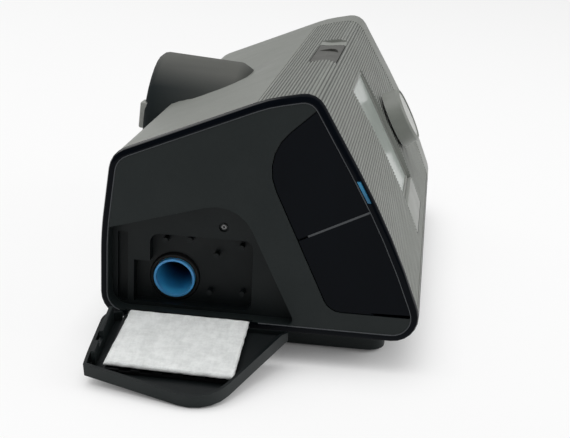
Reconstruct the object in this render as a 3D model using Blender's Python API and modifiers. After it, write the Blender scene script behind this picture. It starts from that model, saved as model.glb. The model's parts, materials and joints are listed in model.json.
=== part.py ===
# Bedside CPAP machine with its water tub, built as separate pieces.
# X runs along the length, the front faces -Y, +Z is up and z = 0 is the table.
import math

import bmesh
import bpy
from mathutils import Matrix, Vector

# Overall sizes of the casing, in metres
body_length = 0.255
body_height = 0.116
casing_depth = 0.1356
front_reach = 0.0706
casing_underside = 0.0140
casing_wall = 0.0025
case_split_height = 0.0275
rear_split_height = 0.077
top_seam_y = 0.0005

# Clearances, cut overrun and the smallest distance between points of an arc
seam_gap = 0.0003
running_gap = 0.0004
cut_overrun = 0.002
weld_distance = 0.000005
arc_step = math.radians(18)
settle_steps = 4

# Corners of the casing's cross-section: share of the depth, share of the height, fillet
outline_corner_shares = (
    (1.0, 0.0),
    (1.0, 0.3725),
    (0.9698, 0.7088),
    (0.4912, 0.9755),
    (0.3459, 1.0160),
    (0.0892, 0.4490),
    (-0.0413, 0.0),
)
lower_back_fillet = 0.011
back_lean_fillet = 0.150
upper_back_fillet = 0.011
top_break_fillet = 0.060
brow_fillet = 0.009
front_swell_fillet = 0.355
lower_front_fillet = 0.011

# End trim and left end panel
trim_depth = 0.0035
trim_width = 0.0032
trim_lip_share = 0.50
trim_edge_shares = ((0.0, 0.0), (0.45, 0.06), (0.80, 0.36), (1.0, 1.0))
panel_inset = 0.0035
panel_recess = 0.0003
panel_thickness = 0.0024
tub_end_length = 0.0294

# Filter door, open as it stands at rest
door_hinge_height = 0.0146
door_hinge_inset = -0.0005
door_open_angle = math.radians(106.7)
door_top_rear_height = 0.0538
door_tip_y = 0.0068
door_tip_height = 0.0694
door_slant_angle = math.radians(26.6)
door_tip_fillet = 0.016
door_corner_fillet = 0.002
door_foot_height = 0.0181
door_edge_inset = 0.0041
door_recess_inset = 0.0037
door_form_inset = 0.0028
door_gap = 0.0007
door_skin = 0.0016
door_rim_depth = 0.0060
door_rim_wall = 0.0013
door_rear_wall_depth = 0.0095
door_rear_wall_width = 0.0016
door_notch_width = 0.006
door_recess_depth = 0.0078
door_groove_depth = 0.0102
door_groove_width = 0.0044
door_groove_drop = 0.0032
groove_side_gap = 0.0008
groove_end_gap = 0.0010
hinge_pin_radius = 0.0008
hinge_pin_length = 0.0090
hinge_knuckle_radius = 0.0016
hinge_knuckle_length = 0.0025
hinge_places = (0.008, 0.046)
hinge_leg_width = 0.0030
hinge_leg_thickness = 0.0016
hinge_running_gap = 0.00008
flap_front_y = -0.0006
flap_rear_y = 0.0534
flap_thickness = 0.0014
flap_high = 0.0195
flap_notch_depth = 0.0022
flap_notch_high = 0.0189
rim_taper_low_depth = 0.0030
rim_taper_height = 0.0265
door_slot_count = 6
door_slot_width = 0.0016
door_slot_length = 0.022
door_slot_pitch = 0.0070

# Filter pad and its frame
filter_length = 0.0525
filter_width = 0.0342
filter_thickness = 0.0022
filter_centre_y = 0.0266
filter_centre_height = 0.0354
frame_wall = 0.0010
frame_height = 0.0018
frame_slot_count = 5
frame_slot_width = 0.005
frame_slot_height = 0.0009

# Filter bay in the end panel
bay_front_y = 0.0005
bay_rear_y = 0.0450
bay_rear_low_y = 0.0520
bay_low_height = 0.0192
bay_high_height = 0.0508
bay_step_height = 0.0383
bay_depth = 0.0135
bay_wall = 0.0016
bay_fillet = 0.004
panel_screw_y = 0.0133
panel_screw_height = 0.0562
panel_screw_head = 0.0019
panel_screw_shank = 0.0010
panel_screw_length = 0.008
panel_screw_head_height = 0.0010
panel_boss_radius = 0.0030
panel_boss_length = 0.006
stud_radius = 0.0012
stud_gap = 0.0015
stud_shares = ((0.86, 0.90), (0.62, 0.93), (0.36, 0.74), (0.12, 0.88), (0.42, 0.20), (0.10, 0.22))

# Blue intake tube
tube_radius = 0.0091
tube_wall = 0.0011
tube_length = 0.034
tube_centre_y = 0.0351
tube_centre_height = 0.0302
tube_tilt = math.radians(6.8)
seal_radius = 0.0108
seal_length = 0.003
seal_set_back = 0.0022

# Glossy covers over the card and the adapter port
gloss_top_y = -0.0244
gloss_top_drop = 0.0058
gloss_shoulder_y = -0.0026
gloss_shoulder_height = 0.0898
gloss_shoulder_fillet = 0.021
gloss_heel_y = -0.0336
gloss_heel_height = 0.0256
gloss_heel_fillet = 0.008
cover_split_y = -0.0230
cover_split_height = 0.0574
cover_split_slope = -0.50
cover_thickness = 0.0020
cover_gap = 0.0008
cover_open_angle = 95
adapter_cover_travel = 0.010
cover_clip_radius = 0.0012
cover_clip_length = 0.0033
cover_clip_places = ((-0.036, 0.038), (-0.058, 0.034))
light_width = 0.0012
light_length = 0.0086
light_rise = 0.0164
light_inset = 0.0014

# Card, its socket and the plate behind the covers
plate_lap = 0.003
plate_thickness = 0.0020
card_length = 0.032
card_width = 0.024
card_thickness = 0.0021
card_reach = 0.0004
card_push = 0.0010
card_centre_rise = 0.0158
card_centre_out = -0.0108
card_gap = 0.0003
socket_wall = 0.0014
socket_length = 0.034
port_width = 0.020
port_height = 0.007
port_length = 0.009
port_drop = 0.030
port_wall = 0.0015
port_out = -0.0100

# Controls share one strip across the front and the top
control_centre_x = -0.0135
control_width = 0.054
display_low_height = 0.0495
display_top_drop = 0.0128
home_low_height = 0.0350
strip_fillet = 0.0006
bezel_wall = 0.0012
bezel_depth = 0.0030
bezel_set_back = 0.0006
lens_thickness = 0.0014
lens_set_back = 0.0012
display_thickness = 0.0048
key_thickness = 0.0028
key_gap = 0.00035
home_travel = 0.0008
start_front_y = -0.0238
start_rear_y = -0.0108
start_travel = 0.0012
start_key_inset = 0.0005
start_dish_near_depth = 0.0004
start_dish_far_depth = 0.0018
start_dish_margin = 0.0030
start_dish_far_margin = 0.012
start_dish_lift = 0.0001
start_dish_columns = 10
stem_radius = 0.0020
stem_length = 0.0012
switch_size = 0.0062
switch_height = 0.0035
start_board_drop = 0.0112
start_board_front_y = -0.0245
start_board_rear_y = -0.0050
start_board_near_x = -0.0475
start_board_far_x = -0.0080
start_post_x = -0.0440
start_post_places = (-0.0195, -0.0085)
start_post_radius = 0.0020

# Dial
dial_centre_x = 0.0285
dial_centre_height = 0.0745
dial_radius = 0.0152
dial_height = 0.0100
dial_steps = 32
dial_gap = 0.0012
dial_draft = 0.0006
dial_edge_fillet = 0.0011
dial_wall = 0.0018
dial_hub_radius = 0.0060
dial_cap_radius = 0.0127
dial_cap_thickness = 0.0010
dial_cap_recess = 0.0005
dial_travel = 0.0006
dial_bore_depth = 0.0030
dial_fit = 0.00008
plunger_radius = 0.0030
plunger_length = 0.0080
encoder_size = 0.013
encoder_height = 0.0065
dial_hole_gap = 0.0010

# Main board on its posts behind the front
board_set_back = 0.0138
board_thickness = 0.0016
board_low = -0.038
board_high = 0.029
board_far_x = 0.0355
board_near_inset = 0.008
post_radius = 0.0024
post_places = ((-0.0845, -0.034), (-0.0845, 0.025), (0.0178, -0.034), (0.0178, 0.025), (-0.1145, -0.034))

# Outlet turret at the back
turret_radius = 0.0310
turret_steps = 30
turret_wall = 0.0022
turret_rear_y = 0.0715
turret_centre_height = 0.0773
turret_tilt = math.radians(4.4)
turret_dome_length = 0.012
turret_barrel_length = 0.042
turret_skirt = 0.0110
turret_edge_fillet = 0.0042
outlet_radius = 0.0110
outlet_wall = 0.0016
outlet_length = 0.018
outlet_reach = 0.0010
contact_width = 0.0070
contact_height = 0.0132
contact_depth = 0.0080
contact_reach = 0.0020
contact_rise = 0.0034
contact_edge_inset = 0.0032
contact_bevel = 0.0008

# Scoop pressed into the top cover in front of the turret
scoop_depth = 0.0050
scoop_half_width = 0.046
scoop_front_y = 0.002
scoop_rear_y = 0.044
scoop_fade_y = 0.056
scoop_columns = 8
cover_rows = 18

# Plinth, feet and screws
plinth_near_inset = 0.020
plinth_far_x = 0.094
plinth_front_y = -0.0570
plinth_rear_y = 0.048
plinth_fillet = 0.008
plinth_border = 0.016
plinth_pocket_height = 0.0118
plinth_rib = 0.016
foot_width = 0.0080
foot_height = 0.0012
foot_socket = 0.0010
foot_inset = 0.0104
screw_head_radius = 0.0026
screw_head_height = 0.0018
screw_shank_radius = 0.0013
screw_length = 0.009
screw_inset = 0.024

# Blower
blower_x = -0.047
blower_y = 0.022
volute_radius = 0.030
volute_wall = 0.0016
volute_steps = 20
volute_low = 0.034
volute_split = 0.048
volute_high = 0.058
inlet_radius = 0.012
impeller_radius = 0.0235
impeller_height = 0.011
impeller_plate = 0.0014
hub_radius = 0.0060
blade_count = 9
blade_thickness = 0.0010
blade_sweep = math.radians(42)
blade_steps = 3
blade_root_share = 0.8
blade_tip_inset = 0.0006
impeller_gap = 0.0006
shaft_radius = 0.0015
motor_radius = 0.0140
motor_height = 0.0135
mount_wall = 0.0040
mount_ring_share = 0.78
duct_radius = 0.0085
duct_wall = 0.0013
duct_y = 0.002
spout_half_width = 0.0105
spout_end_x = -0.017
duct_height = 0.046
duct_stations = 7
duct_straight = 0.004
foam_far_x = -0.083
foam_near_gap = 0.0032
foam_front_y = 0.012
foam_rear_y = 0.049
foam_low = 0.0170
foam_high = 0.046

# Water tub in its bay
bay_start_x = 0.038
bay_sleeve_inset = 0.0078
bay_sleeve_wall = 0.0018
tub_clearance = 0.0006
tub_wall = 0.0018
tub_split_height = 0.066
tub_seal_height = 0.0020
tub_seal_lap = 0.0006
tub_lid_wall = 0.0018
tub_plate_thickness = 0.0010
heater_thickness = 0.0016
tub_end_wall = 0.0022
tub_end_round = 0.005
tub_cover_wall = 0.0022
tub_latch_width = 0.016
tub_latch_thickness = 0.0016
tub_latch_height = 0.014
tub_travel = 0.094
return_port_y = 0.026
return_port_height = 0.078
supply_port_y = -0.004
supply_port_height = 0.080
elbow_bend = 0.020
elbow_rise_share = 0.9
elbow_steps = 5
tub_port_radius = 0.0080
heater_low_x = 0.046
heater_high_x = 0.088
heater_front_y = -0.040
heater_rear_y = 0.030
tub_peg_radius = 0.0030
tub_peg_places = ((-0.030, 0.050), (0.034, 0.050))
bay_flange_inset = 0.0028
bay_flange_thickness = 0.0018
tub_end_edge_shares = ((0.0, 0.0), (0.0, 0.0), (0.55, 0.18), (0.88, 0.58), (1.0, 1.0))
elbow_wall = 0.0012

# Power inlet at the back
inlet_x = -0.075
inlet_height = 0.034
inlet_outer_radius = 0.0062
inlet_bore_radius = 0.0038
inlet_pin_radius = 0.0010
inlet_length = 0.014
inlet_floor = 0.003

# Places worked out from the sizes above
near_x = -body_length / 2
far_x = body_length / 2
case_near_x = near_x + trim_depth
case_far_x = far_x - tub_end_length
casing_span = body_height - casing_underside
panel_face_x = near_x + panel_recess
panel_back_x = panel_face_x + panel_thickness
gloss_top_height = body_height - gloss_top_drop
display_high_height = body_height - display_top_drop
start_board_low = body_height - start_board_drop
light_low_height = cover_split_height + light_rise

# One collection holds the pieces and another the cutters
part_collection_name = "cpap_machine"
cutter_collection_name = "cutters"
SIDE_FRAME = Matrix(((0, 0, 1, 0), (1, 0, 0, 0), (0, 1, 0, 0), (0, 0, 0, 1)))


def clear_scene():
    for item in list(bpy.data.objects):
        bpy.data.objects.remove(item, do_unlink=True)


def make_collection(name):
    collection = bpy.data.collections.new(name)
    bpy.context.scene.collection.children.link(collection)
    return collection


clear_scene()
parts = make_collection(part_collection_name)
cutters = make_collection(cutter_collection_name)


def make_material(name, colour, roughness, metallic=0.0):
    material = bpy.data.materials.new(name)
    material.use_nodes = True
    shader = material.node_tree.nodes["Principled BSDF"]
    shader.inputs["Base Color"].default_value = (*colour, 1.0)
    shader.inputs["Roughness"].default_value = roughness
    shader.inputs["Metallic"].default_value = metallic
    return material


grey_shell = make_material("grey_shell", (0.24, 0.25, 0.23), 0.45)
charcoal = make_material("charcoal_plastic", (0.016, 0.019, 0.019), 0.45)
black_plastic = make_material("black_plastic", (0.008, 0.009, 0.010), 0.5)
black_gloss = make_material("black_gloss", (0.003, 0.006, 0.010), 0.08)
turret_grey = make_material("turret_grey", (0.055, 0.060, 0.060), 0.4)
pale_grey = make_material("pale_grey_plastic", (0.42, 0.43, 0.40), 0.5)
blue_plastic = make_material("blue_plastic", (0.03, 0.20, 0.60), 0.35)
blue_light = make_material("blue_light", (0.02, 0.35, 0.75), 0.3)
glass = make_material("display_glass", (0.30, 0.34, 0.31), 0.05)
black_steel = make_material("black_steel", (0.03, 0.03, 0.03), 0.4, 1.0)
silver = make_material("silver_paint", (0.62, 0.63, 0.60), 0.3, 0.3)
steel = make_material("steel", (0.55, 0.56, 0.57), 0.3, 1.0)
aluminium = make_material("aluminium", (0.70, 0.71, 0.72), 0.35, 1.0)
rubber = make_material("rubber", (0.02, 0.02, 0.02), 0.85)
silicone = make_material("silicone", (0.55, 0.57, 0.58), 0.6)
foam = make_material("foam", (0.05, 0.05, 0.05), 0.95)
filter_felt = make_material("filter_felt", (0.72, 0.74, 0.72), 0.95)
board_green = make_material("board_green", (0.01, 0.12, 0.05), 0.5)
tub_smoke = make_material("tub_smoke", (0.25, 0.28, 0.30), 0.15)
card_blue = make_material("card_blue", (0.03, 0.06, 0.20), 0.5)


# Flat outlines, as lists of (u, v) points running anticlockwise
def fillet_loop(corners, inset=0.0):
    """Convex polygon of (u, v, radius) corners, moved inward and rounded."""
    count = len(corners)
    moved = []
    for index in range(count):
        before = Vector(corners[index - 1][:2])
        here = Vector(corners[index][:2])
        after = Vector(corners[(index + 1) % count][:2])
        side_in = (here - before).normalized()
        side_out = (after - here).normalized()
        normal_in = Vector((-side_in.y, side_in.x))
        normal_out = Vector((-side_out.y, side_out.x))
        half = (normal_in + normal_out).normalized()
        moved.append((here + half * inset / half.dot(normal_in), side_in, side_out))
    points = []
    for (corner, side_in, side_out), given in zip(moved, corners):
        turn = side_in.angle_signed(side_out)
        turn = abs(turn)
        radius = max(given[2] - inset, 0.0)
        if radius <= weld_distance or turn < weld_distance:
            points.append((corner.x, corner.y))
            continue
        tangent = radius * math.tan(turn / 2)
        start = corner - side_in * tangent
        centre = start + Vector((-side_in.y, side_in.x)) * radius
        steps = max(2, math.ceil(turn / arc_step))
        if radius > casing_depth / 2:
            steps = max(steps, 4)
        for step in range(steps + 1):
            angle = turn * step / steps
            arm = start - centre
            turned = Vector((
                arm.x * math.cos(angle) - arm.y * math.sin(angle),
                arm.x * math.sin(angle) + arm.y * math.cos(angle),
            ))
            points.append(tuple(centre + turned))
    return points


def casing_corners():
    fillets = (
        lower_back_fillet, back_lean_fillet, upper_back_fillet, top_break_fillet,
        brow_fillet, front_swell_fillet, lower_front_fillet,
    )
    return [
        (share_y * casing_depth - front_reach, share_z * casing_span + casing_underside, fillet)
        for (share_y, share_z), fillet in zip(outline_corner_shares, fillets)
    ]


def outline(inset=0.0):
    """Cross-section of the casing as (y, z) points."""
    return fillet_loop(casing_corners(), inset)


def rectangle(low_u, high_u, low_v, high_v, radius=0.0):
    return fillet_loop([
        (low_u, low_v, radius), (high_u, low_v, radius), (high_u, high_v, radius), (low_u, high_v, radius),
    ])


def common(subject, clip):
    """Overlap of two convex outlines."""
    result = list(subject)
    for index, end in enumerate(clip):
        start = clip[index - 1]
        edge = Vector(end) - Vector(start)
        if edge.length < weld_distance:
            continue
        source, result = result, []
        for place, point in enumerate(source):
            last = source[place - 1]
            side = edge.cross(Vector(point) - Vector(start))
            last_side = edge.cross(Vector(last) - Vector(start))
            if (side >= 0) != (last_side >= 0):
                share = last_side / (last_side - side)
                result.append(tuple(Vector(last).lerp(Vector(point), share)))
            if side >= 0:
                result.append(tuple(point))
    return tidy_loop(result)


def tidy_loop(points):
    """Outline without repeated points."""
    kept = []
    for point in points:
        if not kept or (Vector(point) - Vector(kept[-1])).length > weld_distance:
            kept.append(point)
    if (Vector(kept[0]) - Vector(kept[-1])).length <= weld_distance:
        kept.pop()
    return kept


def front_y(height, inset=0.0):
    """Y of the casing's front at a height."""
    return min(crossings(outline(inset), height, 1))


def top_height(y, inset=0.0):
    """Height of the casing's top above a y."""
    return max(crossings(outline(inset), y, 0))


def crossings(loop, value, axis):
    found = []
    for index, end in enumerate(loop):
        start = loop[index - 1]
        if (start[axis] - value) * (end[axis] - value) <= 0 and start[axis] != end[axis]:
            share = (value - start[axis]) / (end[axis] - start[axis])
            found.append(start[1 - axis] + share * (end[1 - axis] - start[1 - axis]))
    return found


def circle(centre_u, centre_v, radius, count=24):
    return [
        (centre_u + radius * math.cos(2 * math.pi * step / count),
         centre_v + radius * math.sin(2 * math.pi * step / count))
        for step in range(count)
    ]


# The front's own frame: X along the casing, Y up the slope, Z outward
front_low_y = front_y(home_low_height)
front_high_y = front_y(display_high_height)
front_lean = math.atan2(front_high_y - front_low_y, display_high_height - home_low_height)
front_origin = Vector((0.0, (front_low_y + front_high_y) / 2, (home_low_height + display_high_height) / 2))
front_up = Vector((0.0, math.sin(front_lean), math.cos(front_lean)))
front_out = Vector((0.0, -math.cos(front_lean), math.sin(front_lean)))
FRONT_FRAME = Matrix.Translation(front_origin) @ Matrix.Rotation(math.pi / 2 - front_lean, 4, "X")


def rise_at(height, inset=0.0):
    """Distance up the front's frame of the surface at a height."""
    point = Vector((0.0, front_y(height, inset), height)) - front_origin
    return point.dot(front_up)


def swell_at(height, inset=0.0):
    """Distance of the surface out from the front's frame at a height."""
    point = Vector((0.0, front_y(height, inset), height)) - front_origin
    return point.dot(front_out)


# Solids
def finish(name, mesh, material, matrix=None, cutter=False, smooth=True):
    mesh.name = name
    if smooth:
        mesh.shade_smooth()
        mesh.set_sharp_from_angle(angle=math.radians(35))
    item = bpy.data.objects.new(name, mesh)
    if matrix is not None:
        item.matrix_world = matrix
    if cutter:
        cutters.objects.link(item)
        item.hide_render = True
        item.display_type = "WIRE"
    else:
        parts.objects.link(item)
        mesh.materials.append(material)
    return item


def mesh_from_curve(name, curve, matrix):
    """Closed mesh of a curve object, with its caps welded."""
    guide = bpy.data.objects.new(name, curve)
    bpy.context.scene.collection.objects.link(guide)
    guide.matrix_world = matrix
    graph = bpy.context.evaluated_depsgraph_get()
    mesh = bpy.data.meshes.new_from_object(guide.evaluated_get(graph))
    bpy.data.objects.remove(guide, do_unlink=True)
    shape = bmesh.new()
    shape.from_mesh(mesh)
    bmesh.ops.remove_doubles(shape, verts=shape.verts, dist=weld_distance)
    bmesh.ops.recalc_face_normals(shape, faces=shape.faces)
    shape.to_mesh(mesh)
    shape.free()
    mesh.materials.clear()
    return mesh


def extruded(name, loops, low, high, material=None, frame=SIDE_FRAME, cutter=False):
    """Flat outline with its holes, extruded from low to high along the frame's Z."""
    curve = bpy.data.curves.new(name, "CURVE")
    curve.dimensions = "2D"
    curve.fill_mode = "BOTH"
    curve.extrude = (high - low) / 2
    for loop in loops:
        spline = curve.splines.new("POLY")
        spline.points.add(len(loop) - 1)
        for point, (u, v) in zip(spline.points, loop):
            point.co = (u, v, 0.0, 1.0)
        spline.use_cyclic_u = True
    matrix = frame @ Matrix.Translation((0.0, 0.0, (low + high) / 2))
    mesh = mesh_from_curve(name, curve, matrix)
    return finish(name, mesh, material, matrix, cutter)


def lofted(name, sections, material=None, frame=SIDE_FRAME, cutter=False):
    """Solid through sections of (place along Z, outline), each with the same count of points."""
    shape = bmesh.new()
    rings = [[shape.verts.new((u, v, place)) for u, v in loop] for place, loop in sections]
    for lower, upper in zip(rings, rings[1:]):
        for index in range(len(lower)):
            shape.faces.new((lower[index - 1], lower[index], upper[index], upper[index - 1]))
    shape.faces.new(list(reversed(rings[0])))
    shape.faces.new(rings[-1])
    bmesh.ops.recalc_face_normals(shape, faces=shape.faces)
    mesh = bpy.data.meshes.new(name)
    shape.to_mesh(mesh)
    shape.free()
    return finish(name, mesh, material, frame, cutter)


def block(name, low, high, material=None, frame=None, bevel=0.0, cutter=False):
    """Box between two corners, with its edges rounded by a bevel."""
    shape = bmesh.new()
    bmesh.ops.create_cube(shape, size=1.0)
    low, high = Vector(low), Vector(high)
    size = high - low
    bmesh.ops.scale(shape, vec=size, verts=shape.verts)
    mesh = bpy.data.meshes.new(name)
    shape.to_mesh(mesh)
    shape.free()
    centre = Matrix.Translation((low + high) / 2)
    item = finish(name, mesh, material, frame @ centre if frame else centre, cutter, smooth=bevel > 0)
    if bevel > 0:
        add_bevel(item, bevel)
    return item


def add_bevel(item, width, segments=2, angle=math.radians(40)):
    modifier = item.modifiers.new("edge", "BEVEL")
    modifier.width = width
    modifier.segments = segments
    modifier.limit_method = "ANGLE"
    modifier.angle_limit = angle
    return item


def turned(name, profile, frame, material=None, steps=32, cutter=False):
    """Closed profile of (radius, height) points turned about the frame's Z by a Screw."""
    following = profile[1:] + profile[:1]
    turning = sum(here[0] * after[1] - after[0] * here[1] for here, after in zip(profile, following))
    if turning > 0:
        profile = profile[::-1]
    shape = bmesh.new()
    corners = [shape.verts.new((radius, 0.0, height)) for radius, height in profile]
    closed = profile[0][0] > weld_distance or profile[-1][0] > weld_distance
    for first, second in zip(corners, corners[1:]):
        shape.edges.new((first, second))
    if closed:
        shape.edges.new((corners[-1], corners[0]))
    mesh = bpy.data.meshes.new(name)
    shape.to_mesh(mesh)
    shape.free()
    item = finish(name, mesh, material, frame, cutter)
    screw = item.modifiers.new("turn", "SCREW")
    screw.steps = steps
    screw.render_steps = steps
    screw.use_merge_vertices = True
    screw.merge_threshold = weld_distance
    screw.use_smooth_shade = True
    return item


def disc(name, radius, low, high, frame, material=None, steps=24, cutter=False):
    """Plain round bar along the frame's Z."""
    return extruded(name, [circle(0.0, 0.0, radius, steps)], low, high, material, frame, cutter)


def ring(name, outer, inner, low, high, frame, material=None, steps=24):
    """Plain tube along the frame's Z."""
    loops = [circle(0.0, 0.0, outer, steps), circle(0.0, 0.0, inner, steps)]
    return extruded(name, loops, low, high, material, frame)


def swept(name, points, radius, material=None, resolution=4, cutter=False):
    """Round bar along a smooth path."""
    curve = bpy.data.curves.new(name, "CURVE")
    curve.dimensions = "3D"
    curve.bevel_depth = radius
    curve.bevel_resolution = resolution
    curve.use_fill_caps = True
    spline = curve.splines.new("POLY")
    spline.points.add(len(points) - 1)
    for point, place in zip(spline.points, points):
        point.co = (*place, 1.0)
    mesh = mesh_from_curve(name, curve, Matrix.Identity(4))
    return finish(name, mesh, material, None, cutter)


def boolean(item, other, operation):
    modifier = item.modifiers.new(other.name, "BOOLEAN")
    modifier.operation = operation
    modifier.object = other
    modifier.solver = "EXACT"
    return item


def cut(item, *others):
    for other in others:
        boolean(item, other, "DIFFERENCE")
    return item


def join(item, *others):
    for other in others:
        boolean(item, other, "UNION")
    return item


def with_operands(item):
    """An object and every object that shapes it."""
    found = [item]
    for modifier in item.modifiers:
        if modifier.type == "BOOLEAN":
            found += with_operands(modifier.object)
    return found


def joint_frame(name, place, *children, turn=None):
    """Empty on a joint's axis that carries the pieces of one moving body."""
    empty = bpy.data.objects.new(name, None)
    empty.location = place
    parts.objects.link(empty)
    base = Matrix.Translation(place)
    for child in children:
        carried = with_operands(child) if turn else [child]
        for item in carried:
            item.parent = empty
            item.matrix_parent_inverse = base.inverted()
    if turn:
        empty.rotation_euler = turn
    return empty


# Casing shells share one cavity cutter
def case_cavity():
    low = case_near_x - cut_overrun
    high = case_far_x + cut_overrun
    return extruded("cavity_cutter", [outline(casing_wall)], low, high, cutter=True)


cavity = case_cavity()
wide = body_length


def casing_piece(name, region, material):
    """Part of the casing's wall that lies in a (y, z) region."""
    item = extruded(name, [common(outline(), region)], case_near_x, case_far_x, material)
    return cut(item, cavity)


# Outlines of the door, the covers and the bay on the end panel
rear_edge_y = max(crossings(outline(door_edge_inset), door_top_rear_height, 1))
door_top_slope = (door_tip_height - door_top_rear_height) / (rear_edge_y - door_tip_y)


def door_loop(grow=0.0, edge=door_edge_inset):
    """Outline of the filter door, grown all round but at the casing's edge."""
    foot_front_y = door_tip_y - (door_tip_height - door_foot_height) * math.tan(door_slant_angle)
    corners = [
        (casing_depth, door_foot_height, door_corner_fillet),
        (casing_depth, door_top_rear_height - (casing_depth - rear_edge_y) * door_top_slope, door_corner_fillet),
        (door_tip_y, door_tip_height, door_tip_fillet),
        (foot_front_y, door_foot_height, door_corner_fillet),
    ]
    return common(fillet_loop(corners, -grow), outline(edge))


def gloss_corners():
    return [
        (gloss_heel_y, gloss_heel_height, gloss_heel_fillet),
        (gloss_shoulder_y, gloss_shoulder_height, gloss_shoulder_fillet),
        (gloss_top_y - (gloss_shoulder_y - gloss_top_y),
         gloss_top_height + (gloss_top_height - gloss_shoulder_height), 0.0),
        (gloss_heel_y - wide, gloss_top_height, 0.0),
        (gloss_heel_y - wide, gloss_heel_height, 0.0),
    ]


def gloss_loop(grow=0.0, edge_inset=panel_inset):
    """Outline of the glossy covers, grown all round but at the casing's edge."""
    return common(fillet_loop(gloss_corners(), -grow), outline(edge_inset))


def split_side(upper, gap):
    """Half-plane above or below the line between the two covers."""
    near_v = cover_split_height + cover_split_slope * (wide - cover_split_y)
    far_v = cover_split_height + cover_split_slope * (-wide - cover_split_y)
    if upper:
        return [(-wide, far_v + gap), (wide, near_v + gap), (wide, near_v + wide * 2), (-wide, far_v + wide * 2)]
    return [(-wide, far_v - wide * 2), (wide, near_v - wide * 2), (wide, near_v - gap), (-wide, far_v - gap)]


# Base
def make_base():
    region = rectangle(-wide, wide, -wide, case_split_height - seam_gap / 2)
    base = casing_piece("base_chassis", region, charcoal)
    low_x = near_x + plinth_near_inset
    plan = rectangle(low_x, plinth_far_x, plinth_front_y, plinth_rear_y, plinth_fillet)
    top = casing_underside + casing_wall / 2
    plinth = extruded("plinth_form", [plan], foot_height, top, frame=Matrix.Identity(4), cutter=True)
    join(base, plinth)
    edges = (low_x + plinth_border, -plinth_rib / 2, plinth_rib / 2, plinth_far_x - plinth_border)
    for side, (start, end) in enumerate((edges[:2], edges[2:])):
        loop = rectangle(start, end, plinth_front_y + plinth_border, plinth_rear_y - plinth_border, plinth_fillet / 2)
        pocket = extruded(
            f"pocket_cutter_{side}", [loop], -cut_overrun, plinth_pocket_height,
            frame=Matrix.Identity(4), cutter=True,
        )
        cut(base, pocket)
    return base


def make_feet(base):
    half = foot_width / 2
    side_inset = plinth_border / 2
    places = (("left", near_x + plinth_near_inset + side_inset), ("middle", 0.0), ("right", plinth_far_x - side_inset))
    low_y = plinth_front_y + foot_inset
    high_y = plinth_rear_y - foot_inset
    top = foot_height + foot_socket
    for side, x in places:
        strip = rectangle(x - half, x + half, low_y, high_y, half)
        extruded(f"rubber_foot_{side}", [strip], 0.0, top - seam_gap, rubber, Matrix.Identity(4))
        seat = rectangle(
            x - half - seam_gap, x + half + seam_gap, low_y - seam_gap, high_y + seam_gap, half + seam_gap,
        )
        cut(base, extruded(
            f"foot_cutter_{side}", [seat], -cut_overrun, top, frame=Matrix.Identity(4), cutter=True,
        ))


def make_case_screws(base):
    places = (
        ("left", near_x + plinth_near_inset + screw_inset, plinth_front_y + plinth_border / 2),
        ("right", plinth_far_x - screw_inset, plinth_rear_y - plinth_border / 2),
    )
    floor = foot_height + foot_socket
    head_top = floor + screw_head_height
    for side, x, y in places:
        frame = Matrix.Translation((x, y, 0.0))
        turned(
            f"case_screw_{side}",
            [(0.0, floor), (screw_head_radius, floor), (screw_head_radius, head_top),
             (screw_shank_radius, head_top), (screw_shank_radius, floor + screw_length), (0.0, floor + screw_length)],
            frame, steel, steps=12,
        )
        cut(
            base,
            disc(
                f"head_cutter_{side}", screw_head_radius + seam_gap, -cut_overrun, head_top + seam_gap, frame,
                steps=12, cutter=True,
            ),
            disc(
                f"shank_cutter_{side}", screw_shank_radius + seam_gap, 0.0, floor + screw_length + cut_overrun,
                frame, steps=10, cutter=True,
            ),
        )


# Turret and the openings it needs
turret_axis = Vector((0.0, math.cos(turret_tilt), math.sin(turret_tilt)))
TURRET_FRAME = (
    Matrix.Translation((0.0, turret_rear_y, turret_centre_height))
    @ Matrix.Rotation(turret_tilt - math.pi / 2, 4, "X")
)


def turret_profile(inset, rear, dome_steps=4):
    """Turned profile from the rear face to the dome's tip, as (radius, height) points."""
    radius = turret_radius - inset
    fillet = max(turret_edge_fillet - inset, 0.0)
    points = [(0.0, rear), (radius - fillet, rear)]
    if fillet:
        for step in range(1, 4):
            angle = math.pi / 2 * step / 3
            points.append((radius - fillet + fillet * math.sin(angle), rear - fillet + fillet * math.cos(angle)))
    for step in range(dome_steps + 1):
        angle = math.pi / 2 * step / dome_steps
        length = turret_dome_length - inset
        points.append((radius * math.cos(angle), -turret_barrel_length - length * math.sin(angle)))
    points[-1] = (0.0, points[-1][1])
    return points


def turret_cutter():
    return turned(
        "turret_cutter", turret_profile(-seam_gap, turret_edge_fillet + cut_overrun),
        TURRET_FRAME, steps=turret_steps, cutter=True,
    )


turret_hole = turret_cutter()


def make_turret():
    shell = turned("outlet_turret", turret_profile(0.0, 0.0), TURRET_FRAME, turret_grey, steps=turret_steps)
    hollow = turned(
        "turret_hollow_cutter", turret_profile(turret_wall, -turret_wall), TURRET_FRAME,
        steps=turret_steps, cutter=True,
    )
    inside = extruded(
        "turret_skirt_cutter", [outline(turret_skirt)], -wide, wide, cutter=True,
    )
    bore = disc(
        "outlet_bore_cutter", outlet_radius + seam_gap, -outlet_length, cut_overrun, TURRET_FRAME,
        steps=32, cutter=True,
    )
    centre_x = -turret_radius + contact_edge_inset + contact_width / 2
    contact_hole = block(
        "contact_cutter",
        (centre_x - contact_width / 2 - seam_gap, -contact_rise - contact_height / 2 - seam_gap, -contact_depth),
        (centre_x + contact_width / 2 + seam_gap, -contact_rise + contact_height / 2 + seam_gap, cut_overrun),
        frame=TURRET_FRAME, cutter=True,
    )
    return cut(shell, hollow, inside, bore, contact_hole)


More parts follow.
